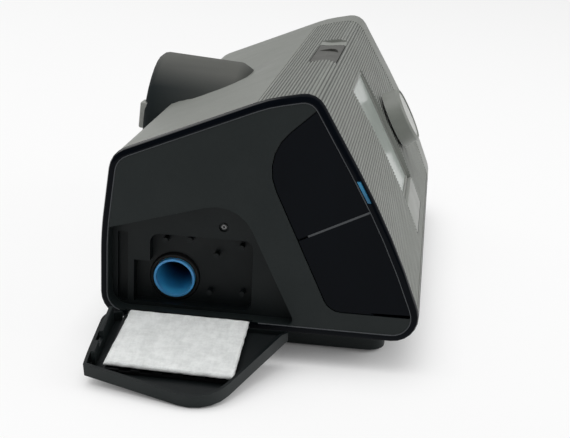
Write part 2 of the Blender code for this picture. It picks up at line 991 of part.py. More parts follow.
def make_contact_block():
    centre_x = -turret_radius + contact_edge_inset + contact_width / 2
    item = block(
        "tube_heater_contact",
        (centre_x - contact_width / 2, -contact_rise - contact_height / 2, -contact_depth + contact_reach),
        (centre_x + contact_width / 2, -contact_rise + contact_height / 2, contact_reach),
        pale_grey, TURRET_FRAME, bevel=contact_bevel,
    )
    return item


def make_outlet_connector():
    outer = outlet_radius
    inner = outlet_radius - outlet_wall
    low = outlet_reach - outlet_length
    return ring("outlet_connector", outer, inner, low, outlet_reach, TURRET_FRAME, pale_grey, steps=32)


# Top cover, with a scoop in front of the turret
def scoop(x, y):
    """Depth of the scoop at a place on the top."""
    across = abs(x) / scoop_half_width
    along = (y - scoop_front_y) / (scoop_rear_y - scoop_front_y)
    if across >= 1 or along <= 0:
        return 0.0
    rise = math.sin(min(along, 1.0) * math.pi / 2) ** 2
    fade = min(max((scoop_fade_y - y) / (scoop_fade_y - scoop_rear_y), 0.0), 1.0)
    return scoop_depth * rise * fade * math.cos(across * math.pi / 2) ** 2


def cover_path(inset, low_y):
    """Points along the top from the rear split to the seam, evenly spaced."""
    low = rear_split_height + seam_gap / 2
    region = rectangle(low_y, wide, low, wide)
    loop = common(outline(inset), region)
    start = max(range(len(loop)), key=lambda index: loop[index][0] - loop[index][1] * weld_distance
                if abs(loop[index][1] - low) < weld_distance else -wide)
    path = loop[start:] + loop[:start]
    ends = [index for index, point in enumerate(path) if abs(point[0] - low_y) < weld_distance]
    path = path[:max(ends, key=lambda index: path[index][1]) + 1]
    lengths = [0.0]
    for first, second in zip(path, path[1:]):
        lengths.append(lengths[-1] + (Vector(second) - Vector(first)).length)
    spaced = []
    for row in range(cover_rows + 1):
        target = lengths[-1] * row / cover_rows
        index = max(1, min(len(path) - 1, sum(1 for length in lengths if length < target)))
        span = lengths[index] - lengths[index - 1]
        share = (target - lengths[index - 1]) / span
        spaced.append(tuple(Vector(path[index - 1]).lerp(Vector(path[index]), share)))
    return spaced


def make_top_cover():
    low_y = top_seam_y + seam_gap / 2
    outer = cover_path(0.0, low_y)
    inner = cover_path(casing_wall, low_y)
    places = [case_near_x]
    for column in range(scoop_columns + 1):
        places.append(scoop_half_width * (2 * column / scoop_columns - 1))
    places.append(case_far_x)
    sections = [
        (x, [(y, z - scoop(x, y)) for y, z in outer + inner[::-1]])
        for x in places
    ]
    cover = lofted("top_cover", sections, grey_shell)
    return cut(cover, turret_hole)


# Rear and front shells
def make_rear():
    region = rectangle(
        plinth_rear_y - plinth_border, wide, case_split_height + seam_gap / 2, rear_split_height - seam_gap / 2,
    )
    rear = casing_piece("rear_housing", region, charcoal)
    frame = inlet_frame()
    hole = disc("inlet_cutter", inlet_outer_radius + seam_gap, -inlet_length, cut_overrun, frame, cutter=True)
    return cut(rear, turret_hole, hole)


def inlet_frame():
    rear_y = max(crossings(outline(), inlet_height, 1))
    return Matrix.Translation((inlet_x, rear_y, inlet_height)) @ Matrix.Rotation(-math.pi / 2, 4, "X")


def make_power_inlet():
    floor = -inlet_length + inlet_floor
    return turned(
        "power_inlet",
        [(0.0, -inlet_floor), (inlet_pin_radius, -inlet_floor), (inlet_pin_radius, floor),
         (inlet_bore_radius, floor), (inlet_bore_radius, 0.0), (inlet_outer_radius, 0.0),
         (inlet_outer_radius, -inlet_length), (0.0, -inlet_length)],
        inlet_frame(), black_plastic, steps=20,
    )


def strip_limits():
    low = control_centre_x - control_width / 2
    return low, low + control_width


board_top = -board_set_back
board_bottom = -board_set_back - board_thickness


def front_region(low_s, high_s, low_n, high_n):
    """Rectangle of the front's frame as (y, z) points."""
    corners = ((low_s, low_n), (high_s, low_n), (high_s, high_n), (low_s, high_n))
    places = [front_origin + front_up * rise + front_out * out for rise, out in corners]
    return [(place.y, place.z) for place in places]


def swell_over(rise):
    """Distance of the surface out from the front's frame at a rise."""
    swell = 0.0
    for _ in range(settle_steps):
        swell = swell_at(front_origin.z + rise * front_up.z + swell * front_out.z)
    return swell


def dial_frame():
    """Frame on the surface under the dial, with Z along the dial's axis."""
    place = (dial_centre_x, rise_at(dial_centre_height), swell_at(dial_centre_height))
    return FRONT_FRAME @ Matrix.Translation(place)


def dish_height(x, y):
    """Height of the dish round the start key, which gets deeper towards its far end."""
    low_x, high_x = strip_limits()
    along = (x - low_x) / (high_x + start_dish_far_margin - low_x)
    depth = start_dish_near_depth + (start_dish_far_depth - start_dish_near_depth) * along
    middle = (start_front_y + start_rear_y) / 2
    across = (y - middle) / ((start_rear_y - start_front_y) / 2 + start_dish_margin)
    return top_height(y) - depth * max(math.cos(across * math.pi / 2), 0.0) ** 2


def dish_rows(half):
    """Places across the start key, evenly spaced and half to each side."""
    middle = (start_front_y + start_rear_y) / 2
    return [middle + half * (2 * row / start_dish_columns - 1) for row in range(start_dish_columns + 1)]


def make_front():
    region = rectangle(-wide, top_seam_y - seam_gap / 2, case_split_height + seam_gap / 2, wide)
    front = casing_piece("front_fascia", region, grey_shell)
    low_x, high_x = strip_limits()
    reach = casing_wall * 3
    strip = extruded(
        "strip_cutter",
        [rectangle(low_x, high_x, rise_at(home_low_height), rise_at(display_high_height), strip_fillet)],
        -reach, reach, frame=FRONT_FRAME, cutter=True,
    )
    start_hole = block(
        "start_hole_cutter",
        (low_x, start_front_y, body_height - brow_fillet - casing_wall), (high_x, start_rear_y, wide), cutter=True,
    )
    dish_ends = (low_x, high_x + start_dish_far_margin)
    half = (start_rear_y - start_front_y) / 2 + start_dish_margin
    sections = []
    for x in dish_ends:
        floor = [(y, dish_height(x, y) + start_dish_lift) for y in dish_rows(half)]
        sections.append((x, floor + [(floor[-1][0], wide), (floor[0][0], wide)]))
    dish = lofted("start_dish_cutter", sections, cutter=True)
    dial_hole = disc(
        "dial_hole_cutter", plunger_radius + dial_hole_gap, -reach, reach, dial_frame(), cutter=True,
    )
    cut(front, strip, dish, start_hole, dial_hole)
    for index, (x, rise) in enumerate(post_places):
        frame = FRONT_FRAME @ Matrix.Translation((x, rise, 0.0))
        join(front, disc(
            f"post_form_{index}", post_radius, board_top + seam_gap, swell_over(rise) - casing_wall / 2, frame,
            steps=10, cutter=True,
        ))
    return front


# Display, keys and the boards that carry them
def make_board():
    plan = rectangle(near_x + board_near_inset, board_far_x, board_low, board_high)
    extruded("main_board", [plan], board_bottom, board_top, board_green, FRONT_FRAME)


def make_display():
    low_x, high_x = strip_limits()
    low = rise_at(display_low_height)
    high = rise_at(display_high_height)
    window = rectangle(low_x + seam_gap, high_x - seam_gap, low + seam_gap, high - seam_gap, strip_fillet)
    edge = bezel_wall + seam_gap
    opening = rectangle(low_x + edge, high_x - edge, low + edge, high - edge, strip_fillet)
    extruded(
        "display_bezel", [window, opening], -bezel_set_back - bezel_depth, -bezel_set_back, pale_grey, FRONT_FRAME,
    )
    edge += seam_gap
    pane = rectangle(low_x + edge, high_x - edge, low + edge, high - edge, strip_fillet)
    lens_low = -lens_set_back - lens_thickness
    extruded("display_lens", [pane], lens_low, -lens_set_back, glass, FRONT_FRAME)
    module_top = lens_low - seam_gap
    module = extruded(
        "display_module", [pane], module_top - display_thickness, module_top, black_plastic, FRONT_FRAME,
    )
    for index, (x, rise) in enumerate((x, rise) for x in (low_x, high_x) for rise in (low, high)):
        leg_x = x + math.copysign(edge + post_radius, (low_x + high_x) / 2 - x)
        leg_rise = rise + math.copysign(edge + post_radius, (low + high) / 2 - rise)
        frame = FRONT_FRAME @ Matrix.Translation((leg_x, leg_rise, 0.0))
        leg = disc(
            f"module_leg_{index}", post_radius, board_top + seam_gap, module_top - display_thickness / 2, frame,
            steps=8, cutter=True,
        )
        join(module, leg)


def make_home_key():
    low_x, high_x = strip_limits()
    low = rise_at(home_low_height)
    high = rise_at(display_low_height)
    face = extruded(
        "home_button",
        [common(outline(), front_region(low + key_gap, high - key_gap, -key_thickness, casing_wall * 2))],
        low_x + key_gap, high_x - key_gap, pale_grey,
    )
    centre_x = (low_x + high_x) / 2
    centre = (low + high) / 2
    switch_top = board_top + seam_gap + switch_height
    frame = FRONT_FRAME @ Matrix.Translation((centre_x, centre, 0.0))
    stem = disc(
        "home_stem", stem_radius, switch_top + home_travel + seam_gap, -key_thickness / 2, frame, steps=12, cutter=True,
    )
    join(face, stem)
    half = switch_size / 2
    block(
        "home_switch", (-half, -half, board_top + seam_gap), (half, half, switch_top), black_plastic, frame,
        bevel=seam_gap,
    )
    return face


def make_start_key():
    low_x, high_x = strip_limits()
    rows = dish_rows((start_rear_y - start_front_y) / 2 - key_gap)
    underside = [(y, top_height(y, start_key_inset + key_thickness)) for y in rows]
    sections = [
        (x, [(y, dish_height(x, y)) for y in rows] + underside[::-1])
        for x in (low_x + key_gap, high_x - key_gap)
    ]
    key = lofted("start_button", sections, grey_shell)
    centre_y = (start_front_y + start_rear_y) / 2
    centre_x = (low_x + start_board_far_x) / 2
    board_face = start_board_low + board_thickness
    switch_top = board_face + switch_height
    frame = Matrix.Translation((centre_x, centre_y, 0.0))
    stem_top = top_height(centre_y, start_key_inset + key_thickness / 2)
    stem = disc(
        "start_stem", stem_radius, switch_top + start_travel + seam_gap, stem_top, frame, steps=12, cutter=True,
    )
    join(key, stem)
    board = block(
        "start_switch", (start_board_near_x, start_board_front_y, start_board_low),
        (start_board_far_x, start_board_rear_y, board_face), board_green,
    )
    half = switch_size / 2
    body = block(
        "start_switch_form", (-half, -half, board_face - board_thickness / 2), (half, half, switch_top),
        frame=frame, cutter=True,
    )
    join(board, body)
    for index, y in enumerate(start_post_places):
        edges = (y - start_post_radius, y + start_post_radius)
        post = disc(
            f"start_post_{index}", start_post_radius, start_board_low + board_thickness / 2,
            min(top_height(edge, casing_wall + seam_gap) for edge in edges),
            Matrix.Translation((start_post_x, y, 0.0)), steps=12, cutter=True,
        )
        join(board, post)
    return key


def make_dial():
    frame = dial_frame()
    board_face = board_top + seam_gap - swell_at(dial_centre_height)
    half = encoder_size / 2
    encoder_top = board_face + encoder_height
    encoder = block(
        "dial_encoder", (-half, -half, board_face), (half, half, encoder_top), black_plastic, frame,
    )
    bore = disc(
        "encoder_cutter", plunger_radius + dial_fit, encoder_top - dial_bore_depth, encoder_top + cut_overrun, frame,
        cutter=True,
    )
    cut(encoder, bore)
    floor = dial_height - dial_cap_recess - dial_cap_thickness - seam_gap
    bore_top = floor - dial_wall * 2 / 3
    plunger = disc(
        "dial_plunger", plunger_radius, encoder_top - dial_bore_depth + dial_travel + seam_gap, bore_top - seam_gap,
        frame, steel,
    )
    bore_radius = plunger_radius + dial_fit
    top_radius = dial_radius - dial_draft
    pocket = dial_cap_radius + seam_gap
    roof = floor - dial_wall
    knob = turned(
        "dial_knob",
        [(0.0, bore_top), (bore_radius, bore_top), (bore_radius, dial_gap), (dial_hub_radius, dial_gap),
         (dial_hub_radius, roof), (dial_radius - dial_wall, roof), (dial_radius - dial_wall, dial_gap),
         (dial_radius, dial_gap), (top_radius, dial_height - dial_edge_fillet),
         (top_radius - dial_edge_fillet, dial_height), (pocket, dial_height), (pocket, floor), (0.0, floor)],
        frame, grey_shell, steps=dial_steps,
    )
    cap_low = floor + seam_gap
    cap_high = cap_low + dial_cap_thickness
    cap = turned(
        "dial_cap",
        [(0.0, cap_low), (dial_cap_radius, cap_low), (dial_cap_radius, cap_high - seam_gap),
         (dial_cap_radius - seam_gap, cap_high), (0.0, cap_high)],
        frame, silver, steps=dial_steps,
    )
    return plunger, knob, cap


# End trim, end panel, bay and door
def make_end_trim():
    lip = trim_width * trim_lip_share
    sections = [
        (case_near_x - seam_gap - (trim_depth - seam_gap) * along, outline(lip * inward))
        for along, inward in trim_edge_shares
    ]
    trim = lofted("end_trim", sections, black_gloss)
    hole = extruded(
        "trim_cutter", [outline(trim_width)], near_x - cut_overrun, case_near_x + cut_overrun, cutter=True,
    )
    rebate = extruded(
        "trim_rebate_cutter", [outline(door_form_inset - seam_gap)],
        panel_face_x + panel_thickness / 2 - seam_gap, case_near_x + cut_overrun * 2, cutter=True,
    )
    return cut(trim, hole, rebate)


def light_box(grow):
    return rectangle(-wide, 0.0, light_low_height - grow, light_low_height + light_length + grow)


def make_light(trim):
    seat = extruded(
        "light_seat_cutter", [common(outline(light_inset - seam_gap), light_box(seam_gap))],
        near_x - cut_overrun, case_near_x, cutter=True,
    )
    cut(trim, seat)
    light = extruded(
        "status_light", [common(outline(light_inset), light_box(0.0))], near_x, case_near_x - seam_gap, blue_light,
    )
    inside = extruded(
        "light_cutter", [outline(light_inset + light_width)], near_x - cut_overrun, case_near_x + cut_overrun,
        cutter=True,
    )
    return cut(light, inside)


def bay_loops(grow=0.0):
    """The bay's narrow full-height part and its wide lower part."""
    tall = rectangle(bay_front_y - grow, bay_rear_y + grow, bay_low_height - grow, bay_high_height + grow, bay_fillet)
    low = rectangle(
        bay_front_y + bay_fillet, bay_rear_low_y + grow, bay_low_height + seam_gap - grow, bay_step_height + grow,
    )
    return tall, low


def stud_places():
    width = bay_rear_y - bay_front_y
    height = bay_high_height - bay_low_height
    return [(bay_front_y + share_y * width, bay_low_height + share_z * height) for share_y, share_z in stud_shares]


def groove_loop(grow, edge):
    """Slot in the recess floor that takes the door's tall rear wall."""
    rear = rear_edge_y - door_gap * 2
    box = rectangle(
        rear - door_groove_width - grow, rear + grow,
        bay_low_height - grow, door_top_rear_height - door_groove_drop + grow,
    )
    return common(box, outline(edge))


def make_end_panel(trim):
    panel = extruded("left_end_panel", [outline(panel_inset)], panel_face_x, panel_back_x, charcoal)
    recess_floor = near_x + door_recess_depth
    bay_floor = near_x + bay_depth
    groove_floor = near_x + door_groove_depth
    inside = panel_face_x + panel_thickness / 2
    recess_form = extruded(
        "recess_form", [door_loop(door_gap + bay_wall, door_form_inset)], inside, recess_floor + bay_wall, cutter=True,
    )
    groove_form = extruded(
        "groove_form", [groove_loop(bay_wall, door_form_inset + seam_gap)],
        recess_floor - seam_gap, groove_floor + bay_wall, cutter=True,
    )
    join(panel, recess_form, groove_form)
    for index, loop in enumerate(bay_loops(bay_wall)):
        start = recess_floor + seam_gap * (index + 1)
        end = bay_floor + bay_wall - seam_gap * index
        join(panel, extruded(f"bay_form_{index}", [loop], start, end, cutter=True))
    screw_frame = Matrix.Translation((0.0, panel_screw_y, panel_screw_height)) @ SIDE_FRAME
    boss_end = recess_floor + panel_boss_length
    boss = disc(
        "boss_form", panel_boss_radius, recess_floor + seam_gap, boss_end, screw_frame, steps=16, cutter=True,
    )
    join(panel, boss)
    recess = extruded(
        "recess_cutter", [door_loop(door_gap, door_recess_inset)], near_x - cut_overrun, recess_floor, cutter=True,
    )
    groove = extruded(
        "groove_cutter", [groove_loop(0.0, door_recess_inset + seam_gap)], near_x + seam_gap, groove_floor, cutter=True,
    )
    cut(panel, recess, groove)
    for index, loop in enumerate(bay_loops()):
        start = near_x + seam_gap * (index + 2)
        cut(panel, extruded(f"bay_cutter_{index}", [loop], start, bay_floor - seam_gap * index, cutter=True))
    gloss = extruded(
        "gloss_cutter", [gloss_loop(running_gap, 0.0)], near_x - cut_overrun, panel_back_x + cut_overrun, cutter=True,
    )
    tube_hole = disc("tube_cutter", seal_radius + seam_gap, -cut_overrun * 2, bay_depth, tube_frame(), cutter=True)
    screw_hole = disc(
        "panel_screw_cutter", panel_screw_shank + seam_gap, near_x, boss_end + cut_overrun, screw_frame,
        steps=12, cutter=True,
    )
    head_hole = disc(
        "panel_head_cutter", panel_screw_head + seam_gap, near_x, recess_floor + panel_screw_head_height, screw_frame,
        steps=16, cutter=True,
    )
    cut(panel, gloss, tube_hole, screw_hole, head_hole)
    for index, (y, z) in enumerate(stud_places()):
        frame = Matrix.Translation((0.0, y, z)) @ SIDE_FRAME
        join(panel, disc(
            f"stud_form_{index}", stud_radius, recess_floor + stud_gap, bay_floor + bay_wall / 2, frame,
            steps=8, cutter=True,
        ))
    notch = block(
        "flap_notch_cutter", (near_x - cut_overrun, flap_front_y - door_gap, 0.0),
        (near_x + flap_notch_depth, flap_rear_y + door_gap, flap_notch_high), cutter=True,
    )
    cut(panel, notch)
    cut(trim, notch)
    head_floor = recess_floor + panel_screw_head_height - seam_gap
    head_face = head_floor - panel_screw_head_height + seam_gap
    return turned(
        "panel_screw",
        [(0.0, head_face), (panel_screw_head, head_face), (panel_screw_head, head_floor),
         (panel_screw_shank, head_floor), (panel_screw_shank, head_floor + panel_screw_length),
         (0.0, head_floor + panel_screw_length)],
        screw_frame, black_steel, steps=16,
    )


def make_covers():
    low = panel_face_x
    high = low + cover_thickness
    card_cover = extruded(
        "sd_cover", [common(gloss_loop(), split_side(True, cover_gap / 2))], low, high, black_gloss,
    )
    port_cover = extruded(
        "adapter_cover", [common(gloss_loop(), split_side(False, cover_gap / 2))], low, high, black_gloss,
    )
    for index, (y, z) in enumerate(cover_clip_places):
        frame = Matrix.Translation((0.0, y, z)) @ SIDE_FRAME
        clip = disc(
            f"clip_form_{index}", cover_clip_radius, high - cover_thickness / 2, high + cover_clip_length, frame,
            steps=10, cutter=True,
        )
        join(port_cover, clip)
    return card_cover, port_cover


card_frame = FRONT_FRAME @ Matrix.Translation((0.0, card_centre_rise, card_centre_out))
port_frame = FRONT_FRAME @ Matrix.Translation((0.0, card_centre_rise - port_drop, port_out))


def make_card_bay():
    face = panel_back_x + seam_gap
    back = face + plate_thickness
    plate = extruded(
        "interface_plate", [gloss_loop(plate_lap, trim_width + seam_gap)], face, back, black_plastic,
    )
    half_width = card_width / 2
    half_thick = card_thickness / 2
    card_start = face - card_reach
    card = block(
        "sd_card", (card_start, -half_width, -half_thick), (card_start + card_length, half_width, half_thick),
        card_blue, card_frame,
    )
    slot = block(
        "card_slot_cutter", (near_x, -half_width - card_gap, -half_thick - card_gap),
        (back + seam_gap + socket_length - socket_wall, half_width + card_gap, half_thick + card_gap),
        frame=card_frame, cutter=True,
    )
    edge = card_gap + socket_wall
    socket = block(
        "sd_socket", (back + seam_gap, -half_width - edge, -half_thick - edge),
        (back + seam_gap + socket_length, half_width + edge, half_thick + edge), steel, card_frame,
    )
    port = block(
        "adapter_port", (back + seam_gap, -port_width / 2, -port_height / 2),
        (back + seam_gap + port_length, port_width / 2, port_height / 2), steel, port_frame,
    )
    socket_hole = block(
        "port_cutter", (near_x, -port_width / 2 + port_wall, -port_height / 2 + port_wall),
        (back + seam_gap + port_length - port_wall, port_width / 2 - port_wall, port_height / 2 - port_wall),
        frame=port_frame, cutter=True,
    )
    cut(plate, slot, socket_hole)
    for index, (y, z) in enumerate(cover_clip_places):
        frame = Matrix.Translation((0.0, y, z)) @ SIDE_FRAME
        cut(plate, disc(
            f"clip_cutter_{index}", cover_clip_radius + seam_gap, near_x, back + cut_overrun, frame,
            steps=10, cutter=True,
        ))
    cut(socket, slot)
    cut(port, socket_hole)
    return card


def tube_frame():
    """Frame at the tube's mouth, with Z running into the casing."""
    place = Matrix.Translation((near_x + bay_depth, tube_centre_y, tube_centre_height))
    return place @ Matrix.Rotation(math.pi / 2 - tube_tilt, 4, "Y")


def make_intake():
    frame = tube_frame()
    ring("intake_tube", tube_radius, tube_radius - tube_wall, -seal_set_back, tube_length, frame,
         blue_plastic, steps=28)
    ring("intake_seal", seal_radius, tube_radius + seam_gap, -seal_set_back / 2, seal_length, frame,
         rubber, steps=28)
    foam_piece = block(
        "muffler_foam", (near_x + bay_depth + bay_wall + foam_near_gap, foam_front_y, foam_low),
        (foam_far_x, foam_rear_y, foam_high), foam,
    )
    passage = disc(
        "foam_cutter", tube_radius + seam_gap, -cut_overrun, tube_length + cut_overrun * 4, frame, steps=20, cutter=True,
    )
    cut(foam_piece, passage)


hinge_x = near_x + door_hinge_inset


def hinge_frame(y):
    """Frame on the door's hinge axis, with Z along Y."""
    return Matrix.Translation((hinge_x, y, door_hinge_height)) @ Matrix.Rotation(-math.pi / 2, 4, "X")


def make_hinge(trim):
    half = hinge_leg_width / 2
    rise = hinge_leg_thickness / 2
    for index, y in enumerate(hinge_places):
        pin = disc(
            f"door_hinge_pin_{index}", hinge_pin_radius, -hinge_pin_length / 2, hinge_pin_length / 2, hinge_frame(y), steel,
            steps=12,
        )
        leg = block(
            f"leg_{index}", (hinge_x - hinge_pin_radius, y - half, door_hinge_height - rise),
            (case_near_x - seam_gap, y + half, door_hinge_height + rise), cutter=True,
        )
        join(pin, leg)
        cut(trim, block(
            f"leg_cutter_{index}", (near_x - cut_overrun, y - half - seam_gap, 0.0),
            (case_near_x + cut_overrun, y + half + seam_gap, door_hinge_height + rise + seam_gap), cutter=True,
        ))


def make_door():
    skin_high = near_x + door_skin
    door = extruded("filter_door", [door_loop(0.0, door_edge_inset)], near_x, near_x + door_rim_depth, charcoal)
    tray_box = rectangle(-wide, wide, 0.0, wide)
    tray = extruded(
        "tray_cutter", [common(door_loop(-door_rim_wall, door_edge_inset + door_rim_wall), tray_box)],
        skin_high, near_x + door_rim_depth + cut_overrun, cutter=True,
    )
    foot = block(
        "foot_wall_cutter", (skin_high, flap_front_y, 0.0),
        (near_x + door_rim_depth + cut_overrun, flap_rear_y, door_foot_height + door_corner_fillet), cutter=True,
    )
    cut(door, tray, foot)
    rear = rear_edge_y - door_gap * 2 - groove_side_gap
    wall_box = rectangle(
        rear - door_rear_wall_width, rear,
        bay_low_height + groove_side_gap, door_top_rear_height - door_groove_drop - groove_end_gap,
    )
    wall = extruded(
        "rear_wall_form", [common(wall_box, outline(door_edge_inset + door_gap))],
        near_x + door_skin / 2, near_x + door_rear_wall_depth, cutter=True,
    )
    notch_low = (bay_low_height + door_top_rear_height) / 2
    notch = block(
        "notch_cutter", (near_x + door_rim_depth, rear - door_rear_wall_width * 2, notch_low),
        (near_x + door_rear_wall_depth + cut_overrun, wide, notch_low + door_notch_width), cutter=True,
    )
    join(door, wall)
    taper = extruded(
        "rim_taper_cutter",
        [[(near_x + rim_taper_low_depth, 0.0), (near_x + rim_taper_low_depth, door_foot_height),
          (near_x + door_rim_depth + cut_overrun / 2, rim_taper_height), (near_x + bay_depth, rim_taper_height),
          (near_x + bay_depth, 0.0)]],
        -flap_front_y, wide, frame=Matrix.Rotation(math.pi / 2, 4, "X"), cutter=True,
    )
    cut(door, notch, taper)
    flap = block(
        "flap_form", (near_x, flap_front_y, door_hinge_height), (near_x + flap_thickness, flap_rear_y, flap_high),
        cutter=True,
    )
    join(door, flap)
    half = hinge_leg_width / 2 + seam_gap
    reach = hinge_pin_length / 2 + running_gap
    for index, y in enumerate(hinge_places):
        slot = block(
            f"flap_slot_cutter_{index}", (hinge_x - hinge_knuckle_radius, y - half, 0.0),
            (near_x + flap_thickness + cut_overrun, y + half, door_hinge_height + hinge_knuckle_radius), cutter=True,
        )
        cut(door, slot)
        for side in (-1, 1):
            start = y + side * (half + seam_gap)
            end = start + side * hinge_knuckle_length
            barrel = disc(
                f"knuckle_{index}_{side}", hinge_knuckle_radius, -hinge_knuckle_length / 2, hinge_knuckle_length / 2,
                hinge_frame((start + end) / 2), steps=16, cutter=True,
            )
            join(door, barrel)
        bore = disc(
            f"knuckle_cutter_{index}", hinge_pin_radius + hinge_running_gap, -reach, reach, hinge_frame(y),
            steps=12, cutter=True,
        )
        cut(door, bore)
    for index in range(door_slot_count):
        y = filter_centre_y + (index - (door_slot_count - 1) / 2) * door_slot_pitch
        half_long = door_slot_length / 2
        half_wide = door_slot_width / 2
        vent = block(
            f"vent_cutter_{index}", (near_x - cut_overrun, y - half_wide, filter_centre_height - half_long),
            (skin_high + cut_overrun / 2, y + half_wide, filter_centre_height + half_long), cutter=True,
        )
        cut(door, vent)
    return door


def make_filter():
    pad_low = filter_centre_height - filter_width / 2
    pad_high = filter_centre_height + filter_width / 2
    pad_front = filter_centre_y - filter_length / 2
    pad_rear = filter_centre_y + filter_length / 2
    floor = near_x + door_skin + seam_gap
    outer = rectangle(pad_front, pad_rear, pad_low, pad_high)
    inner = rectangle(
        pad_front + frame_wall, pad_rear - frame_wall, pad_low + frame_wall, pad_high - frame_wall,
    )
    frame = extruded("filter_frame", [outer, inner], floor, floor + frame_height, black_plastic)
    for index in range(frame_slot_count):
        y = pad_front + filter_length * (index + 1) / (frame_slot_count + 1)
        cut(frame, block(
            f"frame_slot_cutter_{index}", (floor + frame_slot_height, y - frame_slot_width / 2, pad_high - frame_wall * 2),
            (floor + frame_height + cut_overrun, y + frame_slot_width / 2, pad_high + cut_overrun), cutter=True,
        ))
    pad_floor = floor + frame_height + seam_gap
    pad = block(
        "air_filter", (pad_floor, pad_front, pad_low), (pad_floor + filter_thickness, pad_rear, pad_high),
        filter_felt, bevel=seam_gap,
    )
    return frame, pad


# Blower, its duct and the elbow to the outlet
blower_frame = Matrix.Translation((blower_x, blower_y, 0.0))


def volute_loop(inset):
    """Round housing with its straight spout towards the tub."""
    radius = volute_radius - inset
    spout_low = duct_y - spout_half_width + inset - blower_y
    spout_high = duct_y + spout_half_width - inset - blower_y
    end = spout_end_x - inset - blower_x
    start_angle = math.asin(spout_high / radius)
    stop_angle = math.asin(max(spout_low / radius, -1.0)) + 2 * math.pi
    if stop_angle > math.pi * 2 - arc_step / 4:
        stop_angle = math.pi * 2
    points = [(end, spout_low), (end, spout_high)]
    for step in range(volute_steps + 1):
        angle = start_angle + (math.pi * 1.5 - start_angle) * step / volute_steps
        points.append((radius * math.cos(angle), radius * math.sin(angle)))
    points[-1] = (points[-1][0], spout_low)
    return tidy_loop(points)


def make_blower():
    duct_hole = disc(
        "spout_cutter", duct_radius + seam_gap, spout_end_x - volute_wall * 2, spout_end_x + cut_overrun,
        Matrix.Translation((0.0, duct_y, duct_height)) @ SIDE_FRAME, steps=20, cutter=True,
    )
    lower = extruded("volute_lower", [volute_loop(0.0)], volute_low, volute_split, black_plastic, blower_frame)
    upper = extruded(
        "volute_upper", [volute_loop(0.0)], volute_split + seam_gap, volute_high, black_plastic, blower_frame,
    )
    hollow = extruded(
        "volute_cutter", [volute_loop(volute_wall)], volute_low + volute_wall, volute_high - volute_wall,
        frame=blower_frame, cutter=True,
    )
    shaft_hole = disc(
        "shaft_cutter", shaft_radius + running_gap, volute_low - cut_overrun, volute_split, blower_frame,
        steps=12, cutter=True,
    )
    inlet = disc(
        "inlet_hole_cutter", inlet_radius, volute_split, volute_high + cut_overrun, blower_frame, steps=20, cutter=True,
    )
    cut(lower, hollow, shaft_hole, duct_hole)
    cut(upper, hollow, inlet, duct_hole)
    motor_top = volute_low - seam_gap
    motor_low = motor_top - motor_height
    bore = shaft_radius + hinge_running_gap
    shaft_low = motor_low + volute_wall * 2
    turned(
        "blower_motor",
        [(0.0, motor_low), (motor_radius, motor_low), (motor_radius, motor_top), (bore, motor_top),
         (bore, shaft_low), (0.0, shaft_low)],
        blower_frame, steel, steps=24,
    )
    plate_low = volute_low + volute_wall + impeller_gap
    plate_high = plate_low + impeller_plate
    hub_high = plate_high + impeller_height
    impeller = turned(
        "impeller",
        [(bore, plate_low), (impeller_radius, plate_low), (impeller_radius, plate_high), (hub_radius, plate_high),
         (hub_radius, hub_high), (bore, hub_high)],
        blower_frame, pale_grey, steps=28,
    )
    loops = []
    for index in range(blade_count):
        turn = 2 * math.pi * index / blade_count
        front, back = [], []
        for step in range(blade_steps + 1):
            share = step / blade_steps
            radius = hub_radius * blade_root_share + (impeller_radius - blade_tip_inset - hub_radius) * share
            angle = turn + blade_sweep * share
            for side, points in ((-1, front), (1, back)):
                across = side * blade_thickness / 2 / radius
                points.append((radius * math.cos(angle + across), radius * math.sin(angle + across)))
        loops.append(front + back[::-1])
    blades = extruded(
        "blade_form", loops, plate_high - impeller_plate / 2, hub_high - blade_thickness, frame=blower_frame, cutter=True,
    )
    join(impeller, blades)
    shaft = disc(
        "motor_shaft", shaft_radius, shaft_low + seam_gap, hub_high - seam_gap, blower_frame, steel, steps=12,
    )
    ring(
        "blower_mount", volute_radius * mount_ring_share, volute_radius * mount_ring_share - mount_wall,
        casing_underside + casing_wall + seam_gap, volute_low - seam_gap, blower_frame, silicone,
    )
    return impeller, shaft


def pipe(name, points, material):
    """Hollow pipe along a path, open at both ends."""
    tube = swept(name, points, duct_radius, material, resolution=3)
    first, last = Vector(points[0]), Vector(points[-1])
    start = first + (first - Vector(points[1])).normalized() * cut_overrun
    end = last + (last - Vector(points[-2])).normalized() * cut_overrun
    inner = swept(
        f"{name}_cutter", [tuple(start), *points[1:-1], tuple(end)], duct_radius - duct_wall, resolution=3, cutter=True,
    )
    return cut(tube, inner)


def make_duct():
    start_x = spout_end_x - volute_wall - seam_gap * 2
    end_x = bay_start_x + tub_end_wall - seam_gap
    points = [(start_x, duct_y, duct_height)]
    for step in range(duct_stations + 1):
        share = step / duct_stations
        ease = share * share * (3 - 2 * share)
        points.append((
            start_x + duct_straight + (end_x - start_x - duct_straight * 2) * share,
            duct_y + (supply_port_y - duct_y) * ease,
            duct_height + (supply_port_height - duct_height) * ease,
        ))
    points.append((end_x, supply_port_y, supply_port_height))
    pipe("flow_duct", points, black_plastic)
    outlet_end = TURRET_FRAME @ Vector((0.0, 0.0, outlet_reach - outlet_length - seam_gap))
    points = [(end_x, return_port_y, return_port_height)]
    for step in range(elbow_steps + 1):
        angle = math.pi / 2 * step / elbow_steps
        share = step / elbow_steps
        points.append((
            elbow_bend - elbow_bend * math.sin(angle),
            return_port_y + elbow_bend - elbow_bend * math.cos(angle),
            return_port_height + (outlet_end.z - return_port_height) * share * elbow_rise_share,
        ))
    points.append(tuple(outlet_end))
    pipe("outlet_elbow", points, black_plastic)


